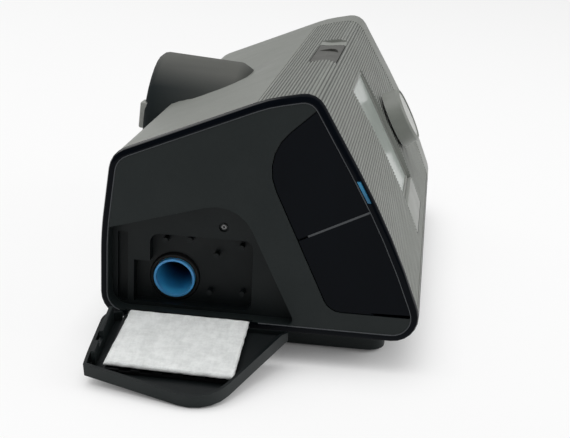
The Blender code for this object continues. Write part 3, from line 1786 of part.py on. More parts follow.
# Tub, its bay and the heater
def port_cutter(name, y, z, radius):
    frame = Matrix.Translation((0.0, y, z)) @ SIDE_FRAME
    return disc(
        name, radius, bay_start_x - cut_overrun, tub_near_x + tub_wall + cut_overrun, frame, steps=20, cutter=True,
    )


tub_near_x = bay_start_x + tub_end_wall + tub_clearance
tub_outline_inset = bay_sleeve_inset + bay_sleeve_wall + tub_clearance


def make_tub_bay():
    far = case_far_x
    bay = extruded("tub_bay", [outline(bay_sleeve_inset)], bay_start_x, far, black_plastic)
    flange = extruded(
        "flange_form", [outline(bay_flange_inset)], far - bay_flange_thickness, far, cutter=True,
    )
    hollow = extruded(
        "bay_hollow_cutter", [outline(bay_sleeve_inset + bay_sleeve_wall)], bay_start_x + tub_end_wall,
        far + cut_overrun, cutter=True,
    )
    join(bay, flange)
    supply = port_cutter("supply_cutter", supply_port_y, supply_port_height, duct_radius + seam_gap)
    back = port_cutter("return_cutter", return_port_y, return_port_height, duct_radius + seam_gap)
    bay_floor = casing_underside + bay_sleeve_inset + bay_sleeve_wall
    heater_hole = block(
        "heater_cutter",
        (heater_low_x - seam_gap, heater_front_y - seam_gap, casing_underside + bay_sleeve_inset - cut_overrun),
        (heater_high_x + seam_gap, heater_rear_y + seam_gap, bay_floor + cut_overrun), cutter=True,
    )
    cut(bay, hollow, supply, back, heater_hole)
    block(
        "heater_plate", (heater_low_x, heater_front_y, bay_floor - heater_thickness),
        (heater_high_x, heater_rear_y, bay_floor), aluminium,
    )


def make_tub():
    inset = tub_outline_inset
    far = case_far_x
    base_region = rectangle(-wide, wide, 0.0, tub_split_height - tub_seal_height / 2)
    lid_region = rectangle(-wide, wide, tub_split_height + tub_seal_height / 2, wide)
    base = extruded("tub_base", [common(outline(inset), base_region)], tub_near_x, far, tub_smoke)
    lid = extruded("tub_lid", [common(outline(inset), lid_region)], tub_near_x, far, tub_smoke)
    water = extruded(
        "water_cutter", [outline(inset + tub_wall)], tub_near_x + tub_wall, far - tub_wall, cutter=True,
    )
    floor = casing_underside + inset
    plate_low_x, plate_high_x = heater_low_x + tub_wall, heater_high_x - tub_wall
    plate_front_y, plate_rear_y = heater_front_y + tub_wall, heater_rear_y - tub_wall
    plate_hole = block(
        "tub_plate_cutter", (plate_low_x - seam_gap, plate_front_y - seam_gap, floor - cut_overrun),
        (plate_high_x + seam_gap, plate_rear_y + seam_gap, floor + tub_wall + cut_overrun), cutter=True,
    )
    cut(base, water, plate_hole)
    for index, (y, z) in enumerate(tub_peg_places):
        frame = Matrix.Translation((0.0, y, z)) @ SIDE_FRAME
        peg = disc(
            f"peg_form_{index}", tub_peg_radius, far - tub_wall / 2, far_x - tub_cover_wall - seam_gap, frame,
            steps=14, cutter=True,
        )
        join(base, peg)
    cut(
        lid, water,
        port_cutter("lid_supply_cutter", supply_port_y, supply_port_height, tub_port_radius),
        port_cutter("lid_return_cutter", return_port_y, return_port_height, tub_port_radius),
    )
    plate = block(
        "tub_base_plate", (plate_low_x, plate_front_y, floor),
        (plate_high_x, plate_rear_y, floor + tub_plate_thickness), aluminium,
    )
    narrow = tub_split_height + tub_seal_height / 2
    front_edge = min(crossings(outline(inset), narrow, 1)) + seam_gap
    rear_edge = max(crossings(outline(inset), narrow, 1)) - seam_gap
    rim = tub_wall + tub_seal_lap
    seal = extruded(
        "tub_seal",
        [rectangle(tub_near_x + seam_gap, far - seam_gap, front_edge, rear_edge),
         rectangle(tub_near_x + rim, far - rim, front_edge + rim, rear_edge - rim)],
        tub_split_height - tub_seal_height / 2 + seam_gap, tub_split_height + tub_seal_height / 2 - seam_gap,
        silicone, Matrix.Identity(4),
    )
    latch = block(
        "tub_latch", (far + seam_gap, -tub_latch_width / 2, tub_split_height - tub_latch_height / 2),
        (far + seam_gap + tub_latch_thickness, tub_latch_width / 2, tub_split_height + tub_latch_height / 2),
        black_plastic,
    )
    cover_low = far + seam_gap
    length = tub_end_round
    sections = [(cover_low, outline())]
    hollow_sections = [(cover_low - cut_overrun, outline(tub_cover_wall))]
    for along, inward in tub_end_edge_shares:
        place = far_x - length + length * along
        sections.append((place, outline(length * inward)))
        hollow_sections.append((place - tub_cover_wall, outline(tub_cover_wall + (length - tub_cover_wall) * inward)))
    cover = lofted("tub_end_cover", sections, grey_shell)
    cut(cover, lofted("end_cover_cutter", hollow_sections, cutter=True))
    return base, plate, lid, seal, cover, latch


# Build every piece and put the moving ones on their joints
base = make_base()
make_feet(base)
make_case_screws(base)
make_rear()
make_top_cover()
make_turret()
make_contact_block()
make_outlet_connector()
make_power_inlet()
make_front()
trim = make_end_trim()
make_light(trim)
make_end_panel(trim)
make_hinge(trim)
card_cover, port_cover = make_covers()
card = make_card_bay()
make_intake()
make_board()
make_display()
home_key = make_home_key()
start_key = make_start_key()
plunger, knob, cap = make_dial()
door = make_door()
frame, pad = make_filter()
impeller, shaft = make_blower()
make_duct()
make_tub_bay()
tub_pieces = make_tub()

dial_place = tuple(dial_frame().translation)
home_place = tuple(front_origin)
start_place = (control_centre_x, (start_front_y + start_rear_y) / 2, body_height)
gloss_hinge = (panel_face_x, gloss_heel_y, gloss_heel_height)
joint_frame("door_axis", (hinge_x, 0.0, door_hinge_height), door, frame, pad, turn=(0.0, -door_open_angle, 0.0))
joint_frame("card_cover_axis", gloss_hinge, card_cover)
joint_frame("port_cover_axis", gloss_hinge, port_cover)
joint_frame("card_axis", tuple(card_frame.translation), card)
joint_frame("home_axis", home_place, home_key)
joint_frame("start_axis", start_place, start_key)
joint_frame("dial_press_axis", dial_place, plunger)
joint_frame("dial_axis", dial_place, knob, cap)
joint_frame("blower_axis", (blower_x, blower_y, volute_low), impeller, shaft)
joint_frame("tub_axis", (case_far_x, 0.0, casing_underside), *tub_pieces)
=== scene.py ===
# CPAP machine: the looks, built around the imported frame
import json
import math

import bmesh
import bpy
from mathutils import Matrix, Vector, noise
from mathutils.bvhtree import BVHTree
from mathutils.kdtree import KDTree


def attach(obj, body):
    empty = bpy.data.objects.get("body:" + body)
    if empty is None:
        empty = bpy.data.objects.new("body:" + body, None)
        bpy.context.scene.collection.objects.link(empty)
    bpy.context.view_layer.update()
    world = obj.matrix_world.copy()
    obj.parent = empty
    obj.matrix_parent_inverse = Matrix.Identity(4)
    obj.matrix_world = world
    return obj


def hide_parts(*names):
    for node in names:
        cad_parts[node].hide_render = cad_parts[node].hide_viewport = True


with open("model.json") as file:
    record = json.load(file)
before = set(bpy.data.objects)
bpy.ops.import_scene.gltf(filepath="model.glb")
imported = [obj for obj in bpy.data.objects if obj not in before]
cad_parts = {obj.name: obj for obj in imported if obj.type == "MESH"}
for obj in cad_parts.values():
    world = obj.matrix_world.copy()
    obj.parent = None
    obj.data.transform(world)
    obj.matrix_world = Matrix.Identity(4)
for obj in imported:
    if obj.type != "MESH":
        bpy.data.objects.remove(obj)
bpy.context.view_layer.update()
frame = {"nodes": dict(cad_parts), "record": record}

print("frame loaded with", len(frame["nodes"]), "nodes")


# A shader socket that adds Math nodes when it is used in an expression
class Field:
    def __init__(self, paint, socket):
        self.paint = paint
        self.socket = socket

    def math(self, operation, first, second=0.0, clamp=False):
        return self.paint.node("Math", {"operation": operation, "use_clamp": clamp}, [first, second])

    def __add__(self, other):
        return self.math("ADD", self, other)

    def __radd__(self, other):
        return self.math("ADD", other, self)

    def __sub__(self, other):
        return self.math("SUBTRACT", self, other)

    def __rsub__(self, other):
        return self.math("SUBTRACT", other, self)

    def __mul__(self, other):
        return self.math("MULTIPLY", self, other)

    def __rmul__(self, other):
        return self.math("MULTIPLY", other, self)

    def __truediv__(self, other):
        return self.math("DIVIDE", self, other)

    def __rtruediv__(self, other):
        return self.math("DIVIDE", other, self)

    def held(self):
        return self.math("ADD", self, 0.0, clamp=True)


# One material: its tree, its shader and the few nodes that the finishes share
class Paint:
    def __init__(self, name, fixed):
        self.material = bpy.data.materials.new(name)
        self.material.use_nodes = True
        self.tree = self.material.node_tree
        self.shader = self.tree.nodes["Principled BSDF"]
        for socket, value in fixed.items():
            self.shader.inputs[socket].default_value = value
        self.where = self.node("TexCoord", output="Object")

    def node(self, kind, settings=None, values=None, output=0):
        made = self.tree.nodes.new("ShaderNode" + kind)
        for key, value in (settings or {}).items():
            setattr(made, key, value)
        pairs = values.items() if isinstance(values, dict) else enumerate(values or ())
        for key, value in pairs:
            if isinstance(value, Field):
                self.tree.links.new(value.socket, made.inputs[key])
            else:
                made.inputs[key].default_value = value
        return Field(self, made.outputs[output])

    def axis(self, name):
        return self.node("SeparateXYZ", {}, [self.where], "XYZ".index(name))

    def stretched(self, scale, turn=(0.0, 0.0, 0.0)):
        return self.node("Mapping", {}, {"Vector": self.where, "Rotation": turn, "Scale": scale})

    def noise(self, scale, detail=2.0, roughness=0.5, where=None):
        values = {"Vector": where or self.where, "Scale": scale, "Detail": detail, "Roughness": roughness}
        return self.node("TexNoise", {}, values)

    def cells(self, scale, feature="F1"):
        return self.node("TexVoronoi", {"feature": feature}, {"Vector": self.where, "Scale": scale})

    def mix(self, factor, first, second):
        def filled(value):
            return value if isinstance(value, Field) else (*value, 1.0)

        values = {0: factor, 6: filled(first), 7: filled(second)}  # 6 and 7 are the colour sockets
        return self.node("Mix", {"data_type": "RGBA"}, values, output=2)

    def ease(self, value, low=0.3, high=0.7, toLow=0.0, toHigh=1.0):
        values = {"Value": value, "From Min": low, "From Max": high, "To Min": toLow, "To Max": toHigh}
        return self.node("MapRange", {"interpolation_type": "SMOOTHSTEP"}, values)

    def bump(self, height, strength, distance):
        return self.node("Bump", {}, {"Height": height, "Strength": strength, "Distance": distance})

    def feed(self, links):
        for name, value in links.items():
            self.tree.links.new(value.socket, self.shader.inputs[name])
        return self.material


def scaled(colour, factor, lift=0.0):
    return tuple(channel * factor + lift for channel in colour)


# Moulded plastic: faint mottling and a fine skin.
# Where it has an other colour, a piece's shade attribute turns it to that one: a painted shade or a painted
# highlight
moulded = {
    "cloud": 22.0, "speck": 900.0, "cloudShare": 0.6, "speckShare": 0.4, "dullness": 60.0,
    "skin": 2600.0, "skinRoughness": 0.6, "strength": 0.5, "depth": 0.00003,
}


def mouldedPlastic(name, colour, shift=0.12, roughness=0.45, spread=0.06, specular=0.4, other=None):
    paint = Paint(name, {"Specular IOR Level": specular})
    cloud = paint.noise(moulded["cloud"], 3.0)
    speck = paint.noise(moulded["speck"])
    mottle = paint.ease(cloud * moulded["cloudShare"] + speck * moulded["speckShare"])
    tone = paint.mix(mottle, scaled(colour, 1 - shift), scaled(colour, 1 + shift))
    if other:
        tone = paint.mix(paint.node("Attribute", {"attribute_name": "shade"}, output="Fac"), tone, other)
    dullness = paint.noise(moulded["dullness"], 3.0)
    skin = paint.noise(moulded["skin"], 2.0, moulded["skinRoughness"])
    return paint.feed({
        "Base Color": tone,
        "Roughness": paint.ease(dullness, 0.25, 0.75, roughness - spread, roughness + spread),
        "Normal": paint.bump(skin, moulded["strength"], moulded["depth"]),
    })


# Gloss plastic: nearly black, with wiped smears and a little dust
gloss = {
    "smear": 16.0, "stretch": (1.0, 1.0, 0.35), "turn": (0.5, 0.0, 0.0), "smearShare": 0.5,
    "dust": 420.0, "dustSize": 0.06, "dustShare": 0.3, "light": 1.5, "lift": 0.002,
    "roughness": 0.05, "smearRoughness": 0.08, "wave": 45.0, "strength": 0.12, "depth": 0.0002,
}


def glossPlastic(name, colour):
    paint = Paint(name, {"Specular IOR Level": 0.07})
    smear = paint.noise(gloss["smear"], 4.0, 0.6, paint.stretched(gloss["stretch"], gloss["turn"]))
    dust = paint.ease(paint.cells(gloss["dust"]), 0.0, gloss["dustSize"], 1.0, 0.0)
    marks = (paint.ease(smear, 0.35, 0.75) * gloss["smearShare"] + dust * gloss["dustShare"]).held()
    return paint.feed({
        "Base Color": paint.mix(marks, colour, scaled(colour, gloss["light"], gloss["lift"])),
        "Roughness": paint.ease(smear, toLow=gloss["roughness"], toHigh=gloss["smearRoughness"]),
        "Normal": paint.bump(paint.noise(gloss["wave"], 1.0), gloss["strength"], gloss["depth"]),
    })


# Metal: streaks along the way it was rolled or turned
metal = {"streak": 90.0, "darker": 0.82, "smoother": 0.07, "duller": 0.1, "strength": 0.2, "depth": 0.00004}


def metalFinish(name, colour, roughness=0.3, along=(1.0, 1.0, 40.0), metallic=1.0):
    paint = Paint(name, {"Metallic": metallic})
    streak = paint.noise(metal["streak"], 3.0, 0.6, paint.stretched(along))
    smooth, dull = roughness - metal["smoother"], roughness + metal["duller"]
    return paint.feed({
        "Base Color": paint.mix(streak, scaled(colour, metal["darker"]), colour),
        "Roughness": paint.ease(streak, 0.2, 0.8, smooth, dull),
        "Normal": paint.bump(streak, metal["strength"], metal["depth"]),
    })


rubber = {
    "mottle": 180.0, "darker": 0.7, "lighter": 1.4, "dullness": 40.0, "spread": 0.08,
    "skin": 1500.0, "strength": 0.6, "depth": 0.00006,
}


def rubberFinish(name, colour, roughness=0.8):
    paint = Paint(name, {"Specular IOR Level": 0.3})
    mottle = paint.ease(paint.noise(rubber["mottle"], 4.0), 0.35, 0.7)
    smooth, dull = roughness - rubber["spread"], roughness + rubber["spread"]
    return paint.feed({
        "Base Color": paint.mix(mottle, scaled(colour, rubber["darker"]), scaled(colour, rubber["lighter"])),
        "Roughness": paint.ease(paint.noise(rubber["dullness"]), toLow=smooth, toHigh=dull),
        "Normal": paint.bump(paint.noise(rubber["skin"], 3.0), rubber["strength"], rubber["depth"]),
    })


foam = {"cell": 700.0, "darker": 0.25, "strength": 0.9, "depth": 0.0006}


def foamFinish(name, colour):
    paint = Paint(name, {"Specular IOR Level": 0.1, "Roughness": 0.95})
    cell = paint.cells(foam["cell"])
    return paint.feed({
        "Base Color": paint.mix(paint.ease(cell, 0.1, 0.7), scaled(colour, foam["darker"]), colour),
        "Normal": paint.bump(cell, foam["strength"], foam["depth"]),
    })


# Felt: fibres that cross, in loose clumps
felt = {
    "fibre": 620.0, "fibreRoughness": 0.7, "squeeze": 0.35, "turn": 0.7, "crossTurn": 0.35,
    "clump": 140.0, "share": 0.4, "low": 0.42, "high": 0.78,
    "shadow": (0.70, 0.72, 0.71), "lit": (0.90, 0.92, 0.91), "strength": 0.8, "depth": 0.0008,
}


def feltFinish(name):
    fixed = {"Specular IOR Level": 0.15, "Roughness": 0.95, "Sheen Weight": 0.35, "Sheen Roughness": 0.6}
    paint = Paint(name, fixed)
    alongX = paint.stretched((felt["squeeze"], 1.0, 1.0), (0.0, 0.0, felt["turn"]))
    alongY = paint.stretched((1.0, felt["squeeze"], 1.0), (0.0, 0.0, felt["crossTurn"]))
    strands = paint.noise(felt["fibre"], 4.0, felt["fibreRoughness"], alongX)
    across = paint.noise(felt["fibre"], 4.0, felt["fibreRoughness"], alongY)
    clump = paint.noise(felt["clump"], 3.0, 0.55)
    fuzz = strands * felt["share"] + across * felt["share"] + clump * felt["share"]
    return paint.feed({
        "Base Color": paint.mix(paint.ease(fuzz, felt["low"], felt["high"]), felt["shadow"], felt["lit"]),
        "Normal": paint.bump(fuzz, felt["strength"], felt["depth"]),
    })


# The intake tube: painted light and shade make its inside light near the mouth and almost black far in
tube = {
    "rim": (0.10, 0.42, 0.86), "lit": (0.10, 0.62, 1.0), "far": (0.003, 0.012, 0.075),
    "mouth": -0.1165, "start": -0.112, "end": -0.089, "speck": 900.0, "speckShare": 0.06,
    "smooth": 0.26, "dull": 0.34,
}


def tubeFinish(name):
    paint = Paint(name, {"Specular IOR Level": 0.4, "Subsurface Weight": 0.1})
    inside = paint.mix(paint.ease(paint.axis("X"), tube["start"], tube["end"]), tube["lit"], tube["far"])
    tone = paint.mix(paint.ease(paint.axis("X"), tube["mouth"], tube["start"]), tube["rim"], inside)
    speck = paint.ease(paint.noise(tube["speck"])) * tube["speckShare"]
    dullness = paint.noise(moulded["dullness"], 3.0)
    skin = paint.noise(moulded["skin"], 2.0, moulded["skinRoughness"])
    return paint.feed({
        "Base Color": paint.mix(speck, tone, tube["rim"]),
        "Roughness": paint.ease(dullness, 0.25, 0.75, tube["smooth"], tube["dull"]),
        "Normal": paint.bump(skin, moulded["strength"], moulded["depth"]),
    })


# Display pane: a pale sleeping screen under a slightly soft window
pane = {
    "band": 30.0, "low": (0.35, 0.39, 0.36), "high": (0.41, 0.45, 0.42), "smear": 50.0,
    "smooth": 0.20, "dull": 0.26, "wave": 60.0, "strength": 0.05, "depth": 0.0002,
}


def glassFinish(name):
    paint = Paint(name, {"Specular IOR Level": 0.35, "Coat Weight": 0.15, "Coat Roughness": 0.25})
    smear = paint.noise(pane["smear"], 3.0)
    return paint.feed({
        "Base Color": paint.mix(paint.ease(paint.noise(pane["band"])), pane["low"], pane["high"]),
        "Roughness": paint.ease(smear, toLow=pane["smooth"], toHigh=pane["dull"]),
        "Normal": paint.bump(paint.noise(pane["wave"], 1.0), pane["strength"], pane["depth"]),
    })


# Status light: a lens that is lighter towards its top
lens = {
    "bottom": 0.0738, "top": 0.0824, "low": (0.006, 0.095, 0.19), "high": (0.014, 0.19, 0.36),
    "grain": 800.0, "strength": 0.2, "depth": 0.0001,
}


def lightFinish(name):
    paint = Paint(name, {"Emission Strength": 0.18, "Roughness": 0.25})
    tone = paint.mix(paint.ease(paint.axis("Z"), lens["bottom"], lens["top"]), lens["low"], lens["high"])
    bump = paint.bump(paint.noise(lens["grain"]), lens["strength"], lens["depth"])
    return paint.feed({"Base Color": tone, "Emission Color": tone, "Normal": bump})


smoke = {
    "band": 25.0, "low": (0.20, 0.23, 0.25), "high": (0.27, 0.30, 0.32), "smear": 60.0,
    "smooth": 0.10, "dull": 0.2, "grain": 300.0, "strength": 0.1, "depth": 0.0001,
}


def smokeFinish(name):
    paint = Paint(name, {"Specular IOR Level": 0.5, "Coat Weight": 0.4, "Alpha": 0.75})
    smear = paint.noise(smoke["smear"], 3.0)
    return paint.feed({
        "Base Color": paint.mix(paint.ease(paint.noise(smoke["band"])), smoke["low"], smoke["high"]),
        "Roughness": paint.ease(smear, toLow=smoke["smooth"], toHigh=smoke["dull"]),
        "Normal": paint.bump(paint.noise(smoke["grain"]), smoke["strength"], smoke["depth"]),
    })


# Circuit board: copper lanes under green lacquer
board = {
    "lane": 160.0, "inner": 0.02, "outer": 0.05, "lacquer": (0.008, 0.10, 0.04),
    "copper": (0.03, 0.17, 0.07), "smooth": 0.3, "dull": 0.45, "strength": 0.4, "depth": 0.00005,
}


def boardFinish(name):
    paint = Paint(name, {"Specular IOR Level": 0.5})
    cells = paint.cells(board["lane"], "DISTANCE_TO_EDGE")
    lanes = paint.ease(cells, board["inner"], board["outer"], 1.0, 0.0)
    return paint.feed({
        "Base Color": paint.mix(lanes, board["lacquer"], board["copper"]),
        "Roughness": paint.ease(lanes, 0.0, 1.0, board["dull"], board["smooth"]),
        "Normal": paint.bump(lanes, board["strength"], board["depth"]),
    })


finishes = {
    "grey_shell": mouldedPlastic("shellGrey", (0.225, 0.235, 0.215), 0.03, 0.42, 0.04),
    # The charcoal's other colour is a painted shade for the floor inside the open door and deep in the filter
    # bay
    "charcoal_plastic": mouldedPlastic(
        "charcoalPlastic", (0.0130, 0.0178, 0.0180), 0.08, 0.45, 0.05, specular=0.22,
        other=(0.0012, 0.0030, 0.0038),
    ),
    "black_plastic": mouldedPlastic("blackPlastic", (0.0065, 0.0075, 0.0085), 0.15, 0.5),
    "black_gloss": glossPlastic("blackGloss", (0.0005, 0.0016, 0.0036)),
    # The turret grey's other colour is a painted highlight for its up-facing crown and its nose
    "turret_grey": mouldedPlastic(
        "turretGrey", (0.0135, 0.0180, 0.0190), 0.05, 0.6, 0.04, specular=0.10,
        other=(0.110, 0.112, 0.104),
    ),
    "pale_grey_plastic": mouldedPlastic("paleGrey", (0.30, 0.31, 0.29), 0.05, 0.45),
    "blue_plastic": tubeFinish("tubeBlue"),
    "blue_light": lightFinish("statusBlue"),
    "display_glass": glassFinish("displayGlass"),
    "black_steel": metalFinish("blackSteel", (0.20, 0.20, 0.20), 0.4, metallic=0.7),
    "silver_paint": metalFinish("silverPaint", (0.62, 0.63, 0.60), 0.34, (1.0, 1.0, 1.0), 0.25),
    "steel": metalFinish("plainSteel", (0.55, 0.56, 0.57)),
    "aluminium": metalFinish("plainAluminium", (0.70, 0.71, 0.72), 0.35, (40.0, 1.0, 1.0)),
    "rubber": rubberFinish("footRubber", (0.012, 0.012, 0.012)),
    "silicone": rubberFinish("siliconeSeal", (0.45, 0.47, 0.48), 0.55),
    "foam": foamFinish("mufflerFoam", (0.05, 0.05, 0.05)),
    "filter_felt": feltFinish("filterFelt"),
    "board_green": boardFinish("boardGreen"),
    "tub_smoke": smokeFinish("tubSmoke"),
    "card_blue": mouldedPlastic("cardBlue", (0.02, 0.05, 0.17), 0.1),
}
slotOf = {row["node"]: row["material_slot"] for row in frame["record"]["subparts"]}
bodyOf = {node: body for body, nodes in frame["record"]["behaviour"]["bodies"].items() for node in nodes}
for node, item in frame["nodes"].items():
    item.data.materials.clear()
    item.data.materials.append(finishes[slotOf[node]])
print("finishes made:", len(finishes))


# Meshes made from the CAD solids: joined up, smooth, with small rounds on the edges
meshing = {"merge": 0.000002, "flatAngle": 0.4, "smoothAngle": 34.0, "roundSegments": 2}


def meshOf(node, joined=True):
    source = frame["nodes"][node].data
    work = bmesh.new()
    points = [work.verts.new(vertex.co) for vertex in source.vertices]
    for face in source.polygons:
        work.faces.new([points[index] for index in face.vertices])
    bmesh.ops.remove_doubles(work, verts=work.verts, dist=meshing["merge"])
    if joined:
        bmesh.ops.dissolve_limit(
            work, angle_limit=math.radians(meshing["flatAngle"]), verts=work.verts, edges=work.edges,
            use_dissolve_boundaries=False,
        )
    return work


def meshFrom(name, work):
    mesh = bpy.data.meshes.new(name)
    work.to_mesh(mesh)
    work.free()
    return mesh


def linked(name, data):
    made = bpy.data.objects.new(name, data)
    bpy.context.scene.collection.objects.link(made)
    return made


def smoothed(mesh, smoothAngle):
    mesh.polygons.foreach_set("use_smooth", [True] * len(mesh.polygons))
    mesh.set_sharp_from_angle(angle=math.radians(smoothAngle))


def finished(name, work, finish, smoothAngle=meshing["smoothAngle"]):
    mesh = meshFrom(name, work)
    smoothed(mesh, smoothAngle)
    mesh.materials.append(finishes[finish])
    piece = linked(name, mesh)
    return piece


def modified(piece, kind, **settings):
    modifier = piece.modifiers.new(kind, kind)
    for key, value in settings.items():
        setattr(modifier, key, value)
    return modifier


def applied(piece):
    bpy.context.view_layer.update()
    graph = bpy.context.evaluated_depsgraph_get()
    mesh = bpy.data.meshes.new_from_object(piece.evaluated_get(graph))
    old = piece.data
    piece.modifiers.clear()
    piece.data = mesh
    bpy.data.meshes.remove(old)


def repainted(piece, material):
    piece.data.materials.clear()
    piece.data.materials.append(material)
    return piece


# Faces between rings of points laid one after another, with both ends closed
def skinned(work, rings):
    for low, high in zip(rings, rings[1:]):
        for index in range(len(low)):
            work.faces.new((low[index - 1], low[index], high[index], high[index - 1]))
    work.faces.new(rings[0])
    work.faces.new(rings[-1])
    bmesh.ops.recalc_face_normals(work, faces=work.faces)
    return work


# A copy with a shape cut out of it. Its large faces weigh most in the smooth shading
def carved(node, name, cutter):
    piece = finished(name, meshOf(node, False), slotOf[node])
    if "shade" in cutter.data.attributes:
        piece.data.attributes.new("shade", "FLOAT", "FACE")
    before = len(piece.data.vertices)
    modified(piece, "BOOLEAN", operation="DIFFERENCE", solver="EXACT", use_self=True, object=cutter)
    applied(piece)
    bpy.data.objects.remove(cutter)
    smoothed(piece.data, meshing["smoothAngle"])
    modified(piece, "WEIGHTED_NORMAL", keep_sharp=True)
    applied(piece)
    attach(piece, bodyOf[node])
    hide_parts(node)
    print(name, "carved, points before and after:", before, len(piece.data.vertices))
    return piece


# Copies with rounded edges: the piece's name and the width of its rounds
rounds = {
    "base_chassis": ("baseShell", 0.0004),
    "rear_housing": ("rearShell", 0.0002),
    "top_cover": ("topShell", 0.0002),
    "end_trim": ("glossTrim", 0.0002),
    "left_end_panel": ("endPanel", 0.0002),
    "outlet_turret": ("turretShell", 0.0005),
    "tube_heater_contact": ("contactBlock", 0.0004),
    "filter_door": ("doorShell", 0.00025),
    "sd_cover": ("cardCover", 0.00015),
    "adapter_cover": ("portCover", 0.00015),
    "dial_knob": ("dialKnob", 0.0002),
    "dial_cap": ("dialFace", 0.0002),
    "home_button": ("homeKey", 0.0003),
    "display_bezel": ("displayFrame", 0.0002),
    "tub_end_cover": ("tubEndShell", 0.0002),
    "intake_tube": ("blueTube", 0.0003),
    "intake_seal": ("tubeSeal", 0.0004),
}
# On these the rounds tear a joined face, so their triangles stay apart
wholeFaces = ("filter_door", "adapter_cover", "outlet_turret")


def polished(node, name, width):
    piece = finished(name, meshOf(node, node not in wholeFaces), slotOf[node])
    modified(
        piece, "BEVEL", width=width, segments=meshing["roundSegments"], limit_method="ANGLE",
        angle_limit=math.radians(meshing["smoothAngle"]), harden_normals=True, miter_outer="MITER_ARC",
    )
    applied(piece)
    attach(piece, bodyOf[node])
    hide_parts(node)
    return piece


shells = {node: polished(node, name, width) for node, (name, width) in rounds.items()}
print("polished copies made:", len(shells))


# Painted light and shade: how far a spot takes its finish's other colour, worked out from its place and the
# way it faces
def shaded(piece, rule, onPoints=False):
    mesh = piece.data
    if onPoints:
        spots = [(point.co, point.normal) for point in mesh.vertices]
    else:
        spots = [(face.center, face.normal) for face in mesh.polygons]
    shade = mesh.attributes.new("shade", "FLOAT", "POINT" if onPoints else "FACE")
    shade.data.foreach_set("value", [rule(*spot) for spot in spots])


# Painted shade: the moulding is given a blacker colour on the floor inside the open door and deep in the
# filter bay
inner = {
    "up": 0.5, "doorTop": 0.0205, "doorShare": 0.8, "bayFace": -0.1232, "bayEnd": -0.1180, "bayShare": 0.75,
}


def doorPaintedShade(place, normal):
    return inner["doorShare"] if normal.z > inner["up"] and place.z < inner["doorTop"] else 0.0


def bayPaintedShade(place, normal):
    share = (place.x - inner["bayFace"]) / (inner["bayEnd"] - inner["bayFace"])
    return inner["bayShare"] * min(max(share, 0.0), 1.0)


# Painted highlight: the turret is given a lighter colour on its up-facing crown and towards its nose
crown = {"low": 0.62, "high": 1.0, "noseFar": 0.048, "noseNear": 0.024, "nose": 0.55, "under": 0.5}


def turretPaintedHighlight(place, normal):
    top = (normal.z - crown["low"]) / (crown["high"] - crown["low"])
    nose = (crown["noseFar"] - place.y) / (crown["noseFar"] - crown["noseNear"]) * crown["nose"]
    above = min(max(normal.z + crown["under"], 0.0), 1.0)
    return min(max(top, 0.0) + min(max(nose, 0.0), crown["nose"]) * above, 1.0)


shaded(shells["outlet_turret"], turretPaintedHighlight, onPoints=True)
shaded(shells["filter_door"], doorPaintedShade)
shaded(shells["left_end_panel"], bayPaintedShade)
print("door, bay and turret shaded")


# Panel screw: a small domed head with a socket, down in its dark well
screw = {
    "steps": 48, "sides": 6, "head": 0.62, "socket": 0.26, "centre": 0.2, "flat": 0.8, "inset": 0.00005,
    "dome": 0.0002, "well": 0.0014, "back": 0.0028, "smoothAngle": 30.0,
}


def socketReach(angle):
    half = math.pi / screw["sides"]
    turn = (angle + half) % (half * 2) - half
    return math.cos(half) / math.cos(turn)


def makeScrew():
    corners = [vertex.co for vertex in frame["nodes"]["panel_screw"].data.vertices]
    low = Vector([min(corner[axis] for corner in corners) for axis in range(3)])
    high = Vector([max(corner[axis] for corner in corners) for axis in range(3)])
    middle, radius = (low + high) / 2, (high.y - low.y) / 2
    head, socket = screw["head"] * radius, screw["socket"] * radius
    line = [
        (socket * screw["centre"], screw["well"]), (socket, screw["well"]), (socket, screw["inset"]),
        (head * screw["flat"], screw["inset"]), (head, screw["dome"]), (head, screw["well"]),
        (radius, screw["well"]), (radius, screw["back"]), (radius * screw["centre"], screw["back"]),
    ]
    work = bmesh.new()
    rings = []
    for reach, depth in line:
        ring = []
        for step in range(screw["steps"]):
            angle = math.tau * step / screw["steps"]
            out = reach * (socketReach(angle) if reach <= socket else 1.0)
            place = (low.x + depth, middle.y + out * math.cos(angle), middle.z + out * math.sin(angle))
            ring.append(work.verts.new(place))
        rings.append(ring)
    piece = finished("screwHead", skinned(work, rings), "black_steel", screw["smoothAngle"])
    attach(piece, bodyOf["panel_screw"])
    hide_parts("panel_screw")
    print("screw head radius:", round(head, 5), "of", round(radius, 5))


makeScrew()


# Ribs: fine grooves along the front shell, cut by round bars that a node group lays side by side
ribs = {
    "Pitch": 0.0016, "Radius": 0.0006, "Sides": 12, "Length": 0.23, "depth": 0.00042, "middle": -0.013,
    "ends": 0.9, "floor": 0.8, "facing": 0.99, "rearWeight": 10.0, "frontWeight": 0.01,
}
# The rib grey's other colour is a painted shade for the groove floors
ribFinish = mouldedPlastic("ribGrey", (0.255, 0.266, 0.245), 0.03, 0.42, 0.04, other=(0.095, 0.100, 0.092))


